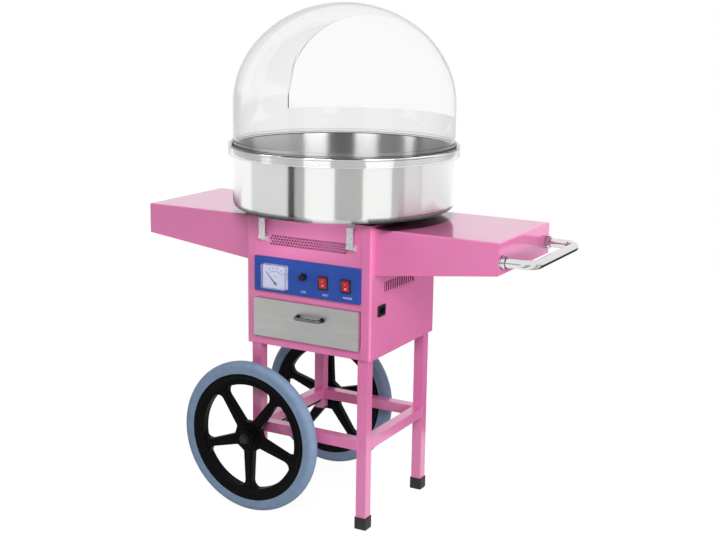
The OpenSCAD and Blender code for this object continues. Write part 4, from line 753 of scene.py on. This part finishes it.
# Bowl: spun from stainless sheet and polished on the lathe, with a rolled rim and a collar round the drive.
# The polish leaves fine rings, so each highlight spreads up and down the wall into an upright band.
bowl_z, bowl_r, bowl_t, wall_top = 0.723, 0.258, 1.2 * mm, 0.1408
corner_r, roll_r, hole_r, collar_h = 0.016, 3.2 * mm, 0.084, 0.02
bowl_steel, tree, shader = new_finish("polished_spun_stainless")
place = add_node(tree, "ShaderNodeTexCoord").outputs["Object"]
centred = add_node(tree, "ShaderNodeMapping", {"Vector": place, "Location": (-machine_x, 0, 0)})
flat = add_node(tree, "ShaderNodeVectorMath", {0: centred.outputs[0], 1: (1, 1, 0)}, operation="MULTIPLY")
radius = add_node(tree, "ShaderNodeVectorMath", {0: flat.outputs[0]}, operation="LENGTH")
height = add_node(tree, "ShaderNodeSeparateXYZ", {0: place}).outputs["Z"]
along_profile = add_node(tree, "ShaderNodeMath", {0: radius.outputs["Value"], 1: height}, operation="ADD")
ring_place = add_node(tree, "ShaderNodeCombineXYZ", {0: along_profile.outputs[0]})
rings = add_node(
    tree, "ShaderNodeTexNoise", {"Vector": ring_place.outputs[0], "Scale": 1 / (1.5 * mm), "Detail": 2.0}
)
polish = add_node(
    tree, "ShaderNodeMapRange",
    {"Value": rings.outputs["Fac"], "From Min": 0.3, "From Max": 0.7, "To Min": 0.17, "To Max": 0.21},
)
outside = add_node(
    tree, "ShaderNodeMapRange",
    {"Value": radius.outputs["Value"], "From Min": bowl_r - 0.8 * mm, "From Max": bowl_r - 0.4 * mm,
     "To Min": 0.15, "To Max": 0.0},
)
buffed = add_node(tree, "ShaderNodeMath", {0: polish.outputs[0], 1: outside.outputs[0]}, operation="ADD")
ring_colour = add_node(
    tree, "ShaderNodeMix",
    {0: rings.outputs["Fac"], 6: linear("#F2F2F1"), 7: linear("#FAFAF9")}, data_type="RGBA",
)
round_axis = add_node(
    tree, "ShaderNodeVectorMath", {0: (0, 0, 1), 1: flat.outputs[0]}, operation="CROSS_PRODUCT"
)
drive(tree, shader, Base_Color=ring_colour.outputs[2], Metallic=1.0, Roughness=buffed.outputs[0],
      Anisotropic=1.0, Anisotropic_Rotation=0.25, Tangent=round_axis.outputs[0])
dress(bowl_steel, "bowl_lugs")


def lathe(profile, steps):
    """A closed profile of (radius, height) points, carried round the bowl's upright axis in equal steps."""
    t = np.linspace(0, 2 * np.pi, steps, endpoint=False)[None, :]
    r, z = profile[:, :1], profile[:, 1:]
    return np.stack([machine_x + r * np.cos(t), r * np.sin(t), z + 0 * t], -1)[None]


def arc(centre, r, start, end, count):
    """Points of a circle's arc in the profile's plane, between two angles in degrees."""
    a = np.radians(np.linspace(start, end, count))
    return np.stack([centre[0] + r * np.cos(a), centre[1] + r * np.sin(a)], 1)


roll_at = (bowl_r - bowl_t + roll_r, wall_top)
meets = math.degrees(math.acos((bowl_r - roll_at[0]) / roll_r))
bowl_profile = np.concatenate([
    np.linspace((hole_r, 0), (bowl_r - corner_r, 0), 12),
    arc((bowl_r - corner_r, corner_r), corner_r, -90, 0, 13)[1:],
    np.linspace((bowl_r, corner_r), (bowl_r, wall_top - roll_r * math.sin(math.radians(meets))), 16)[1:],
    arc(roll_at, roll_r, -meets, 180, 22)[1:],
    np.linspace((bowl_r - bowl_t, wall_top), (bowl_r - bowl_t, corner_r), 16)[1:],
    arc((bowl_r - corner_r, corner_r), corner_r - bowl_t, 0, -90, 13)[1:],
    np.linspace((bowl_r - corner_r, bowl_t), (hole_r + bowl_t, bowl_t), 12)[1:],
    np.linspace((hole_r + bowl_t, bowl_t), (hole_r + bowl_t, collar_h), 4)[1:],
    np.linspace((hole_r, collar_h), (hole_r, 0), 4)[:-1],
])
bowl_mesh = grid_mesh("spun_bowl", lathe(bowl_profile + [0, bowl_z], 256), True, True)
sharp_from = math.radians(50)
bowl_mesh.set_sharp_from_angle(angle=sharp_from)
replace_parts(add_piece("spun_bowl", bowl_mesh, bowl_steel, "cart"), "bowl")

# Latches: pressed brackets and hooked levers that pull the bowl down by its lugs.
# The pressings are tumbled and nickel-plated, so they are bright with a pale, even haze.
latch_steel, tree, shader = new_finish("satin_nickel_plate")
place = add_node(tree, "ShaderNodeTexCoord").outputs["Object"]
scuff = add_node(tree, "ShaderNodeTexNoise", {"Vector": place, "Scale": 1 / (2.2 * mm), "Detail": 3.0})
scuffed = add_node(
    tree, "ShaderNodeMapRange",
    {"Value": scuff.outputs["Fac"], "From Min": 0.3, "From Max": 0.7, "To Min": 0.18, "To Max": 0.34},
)
latch_colour = add_node(
    tree, "ShaderNodeMix",
    {0: scuff.outputs["Fac"], 6: linear("#E4E2E4"), 7: linear("#F0EEF0")}, data_type="RGBA",
)
drive(tree, shader, Base_Color=latch_colour.outputs[2], Metallic=0.62, Roughness=scuffed.outputs[0])
dress(
    latch_steel, "latch_brackets", "latch_lever_front_left", "latch_lever_front_right",
    "latch_lever_rear_left", "latch_lever_rear_right",
)

# Dome: blown from clear acrylic sheet, with its mouth sawn out at the back, on a rim band of the same sheet.
# Thick edges look grey, because the plastic takes a little light from a long path through it.
dome_acrylic, tree, shader = new_finish("blown_clear_acrylic")
drive(tree, shader, Base_Color=(1, 1, 1, 1), Transmission_Weight=1.0, Roughness=0.0, IOR=1.49)
soak = add_node(tree, "ShaderNodeVolumeAbsorption", {"Color": (0.55, 0.57, 0.58, 1), "Density": 28.0})
tree.links.new(soak.outputs[0], tree.nodes["Material Output"].inputs["Volume"])
dress(dome_acrylic, "dome_rim")
solids["dome_rim"].visible_shadow = False

dome_z, wall_h, sill_h, mouth_y = 0.8673, 0.093, 0.063, 0.115
dome_r, dome_rise, dome_t = 0.257, 0.230, 0.003
sill_rows, jamb_rows = 5, 4


def dome_skin(r_foot, rise):
    """One skin of the dome, as patches over (height, turn). The wall is upright to wall_h, and the crown
    above it is r_foot cos(q), rise sin(q). The patches are the wall and crown round the front, the crown
    in front of the mouth's plane, and the wall under the mouth's sill.
    On the plane y = mouth_y the turn is asin(mouth_y / r)."""
    edge = math.asin(mouth_y / r_foot)
    front_turn = np.linspace(math.pi - edge, 2 * math.pi + edge, 150)[None, :]
    mouth_turn = np.linspace(edge, math.pi - edge, 70)[None, :]
    q = np.linspace(0, 1, 49)[:, None]
    below, beside = np.linspace(0, sill_h, sill_rows), np.linspace(sill_h, wall_h, jamb_rows)
    lift = np.concatenate([below, beside[1:]])[:, None]
    crown = q * math.pi / 2

    def spun(r, z, turn):
        """Points at a radius, a height over the dome's foot and a turn about the upright axis."""
        return np.stack(np.broadcast_arrays(machine_x + r * np.cos(turn), r * np.sin(turn), dome_z + z), -1)

    front = spun(
        np.concatenate([r_foot + 0 * lift[:-1], r_foot * np.cos(crown)]),
        np.concatenate([lift[:-1], wall_h + rise * np.sin(crown)]), front_turn,
    )
    start = np.arccos(np.clip(mouth_y / (r_foot * np.sin(mouth_turn)), -1, 1))
    over = start + (math.pi / 2 - start) * q
    mouth = spun(r_foot * np.cos(over), wall_h + rise * np.sin(over), mouth_turn)
    sill = spun(r_foot, lift[:sill_rows], mouth_turn)
    return front, mouth, sill


outer, inner = dome_skin(dome_r, dome_rise), dome_skin(dome_r - dome_t, dome_rise - dome_t)
jambs = slice(sill_rows - 1, sill_rows + jamb_rows - 1)
edges = [
    (outer[0][0], inner[0][0]), (outer[2][0], inner[2][0]),
    (outer[2][-1], inner[2][-1]), (outer[1][0], inner[1][0]),
    (outer[0][jambs, 0], inner[0][jambs, 0]), (outer[0][jambs, -1], inner[0][jambs, -1]),
]
patches = [*outer, *inner, *(np.stack(edge) for edge in edges)]
corners = np.cumsum([0] + [patch[..., 0].size for patch in patches])
faces = []
for patch, first in zip(patches, corners):
    index = first + np.arange(patch[..., 0].size).reshape(patch.shape[:2])
    quads = np.stack([index[:-1, :-1], index[1:, :-1], index[1:, 1:], index[:-1, 1:]], -1)
    faces.append(quads.reshape(-1, 4))
dome_points = np.concatenate([patch.reshape(-1, 3) for patch in patches])
dome_mesh = closed_mesh("blown_dome", dome_points, np.concatenate(faces))
dome_mesh.set_sharp_from_angle(angle=sharp_from)
blown_dome = add_piece("blown_dome", dome_mesh, dome_acrylic, "dome")
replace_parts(blown_dome, "dome")
blown_dome.visible_shadow = False

# Spinner and its drive: a cast aluminium motor and head, a ring heater on posts, and brass slip rings.
# Cast alloy is dull with a sandy grain; the heater is blued by its heat; the brass is turned.
cast_alloy, tree, shader = new_finish("cast_aluminium")
place = add_node(tree, "ShaderNodeTexCoord").outputs["Object"]
sand = add_node(tree, "ShaderNodeTexNoise", {"Vector": place, "Scale": 1 / (1.4 * mm), "Detail": 3.0})
cast_colour = add_node(
    tree, "ShaderNodeMix",
    {0: sand.outputs["Fac"], 6: linear("#A7A8A9"), 7: linear("#C4C4C4")}, data_type="RGBA",
)
skin = add_node(
    tree, "ShaderNodeBump", {"Strength": 0.25, "Distance": 0.15 * mm, "Height": sand.outputs["Fac"]}
)
drive(tree, shader, Base_Color=cast_colour.outputs[2], Metallic=1.0, Roughness=0.42, Normal=skin.outputs[0])
dress(cast_alloy, "motor", "spinner_head", "spinner_cap")

heater_steel, tree, shader = new_finish("heat_blued_steel")
place = add_node(tree, "ShaderNodeTexCoord").outputs["Object"]
burn = add_node(tree, "ShaderNodeTexNoise", {"Vector": place, "Scale": 1 / (16 * mm), "Detail": 3.0})
heat_colour = add_node(
    tree, "ShaderNodeMix",
    {0: burn.outputs["Fac"], 6: linear("#4A4550"), 7: linear("#7A6A5C")}, data_type="RGBA",
)
drive(tree, shader, Base_Color=heat_colour.outputs[2], Metallic=1.0, Roughness=0.38)
dress(heater_steel, "heater_ring")

ring_brass, tree, shader = new_finish("turned_brass")
place = add_node(tree, "ShaderNodeTexCoord").outputs["Object"]
tool_place = add_node(tree, "ShaderNodeMapping", {"Vector": place, "Scale": (1, 1, 1 / (0.5 * mm))})
tool_lines = add_node(tree, "ShaderNodeTexNoise", {"Vector": tool_place.outputs[0], "Scale": 1.0})
brass_colour = add_node(
    tree, "ShaderNodeMix",
    {0: tool_lines.outputs["Fac"], 6: linear("#C39A4A"), 7: linear("#D8B264")}, data_type="RGBA",
)
drive(tree, shader, Base_Color=brass_colour.outputs[2], Metallic=1.0, Roughness=0.25)
dress(ring_brass, "slip_rings")
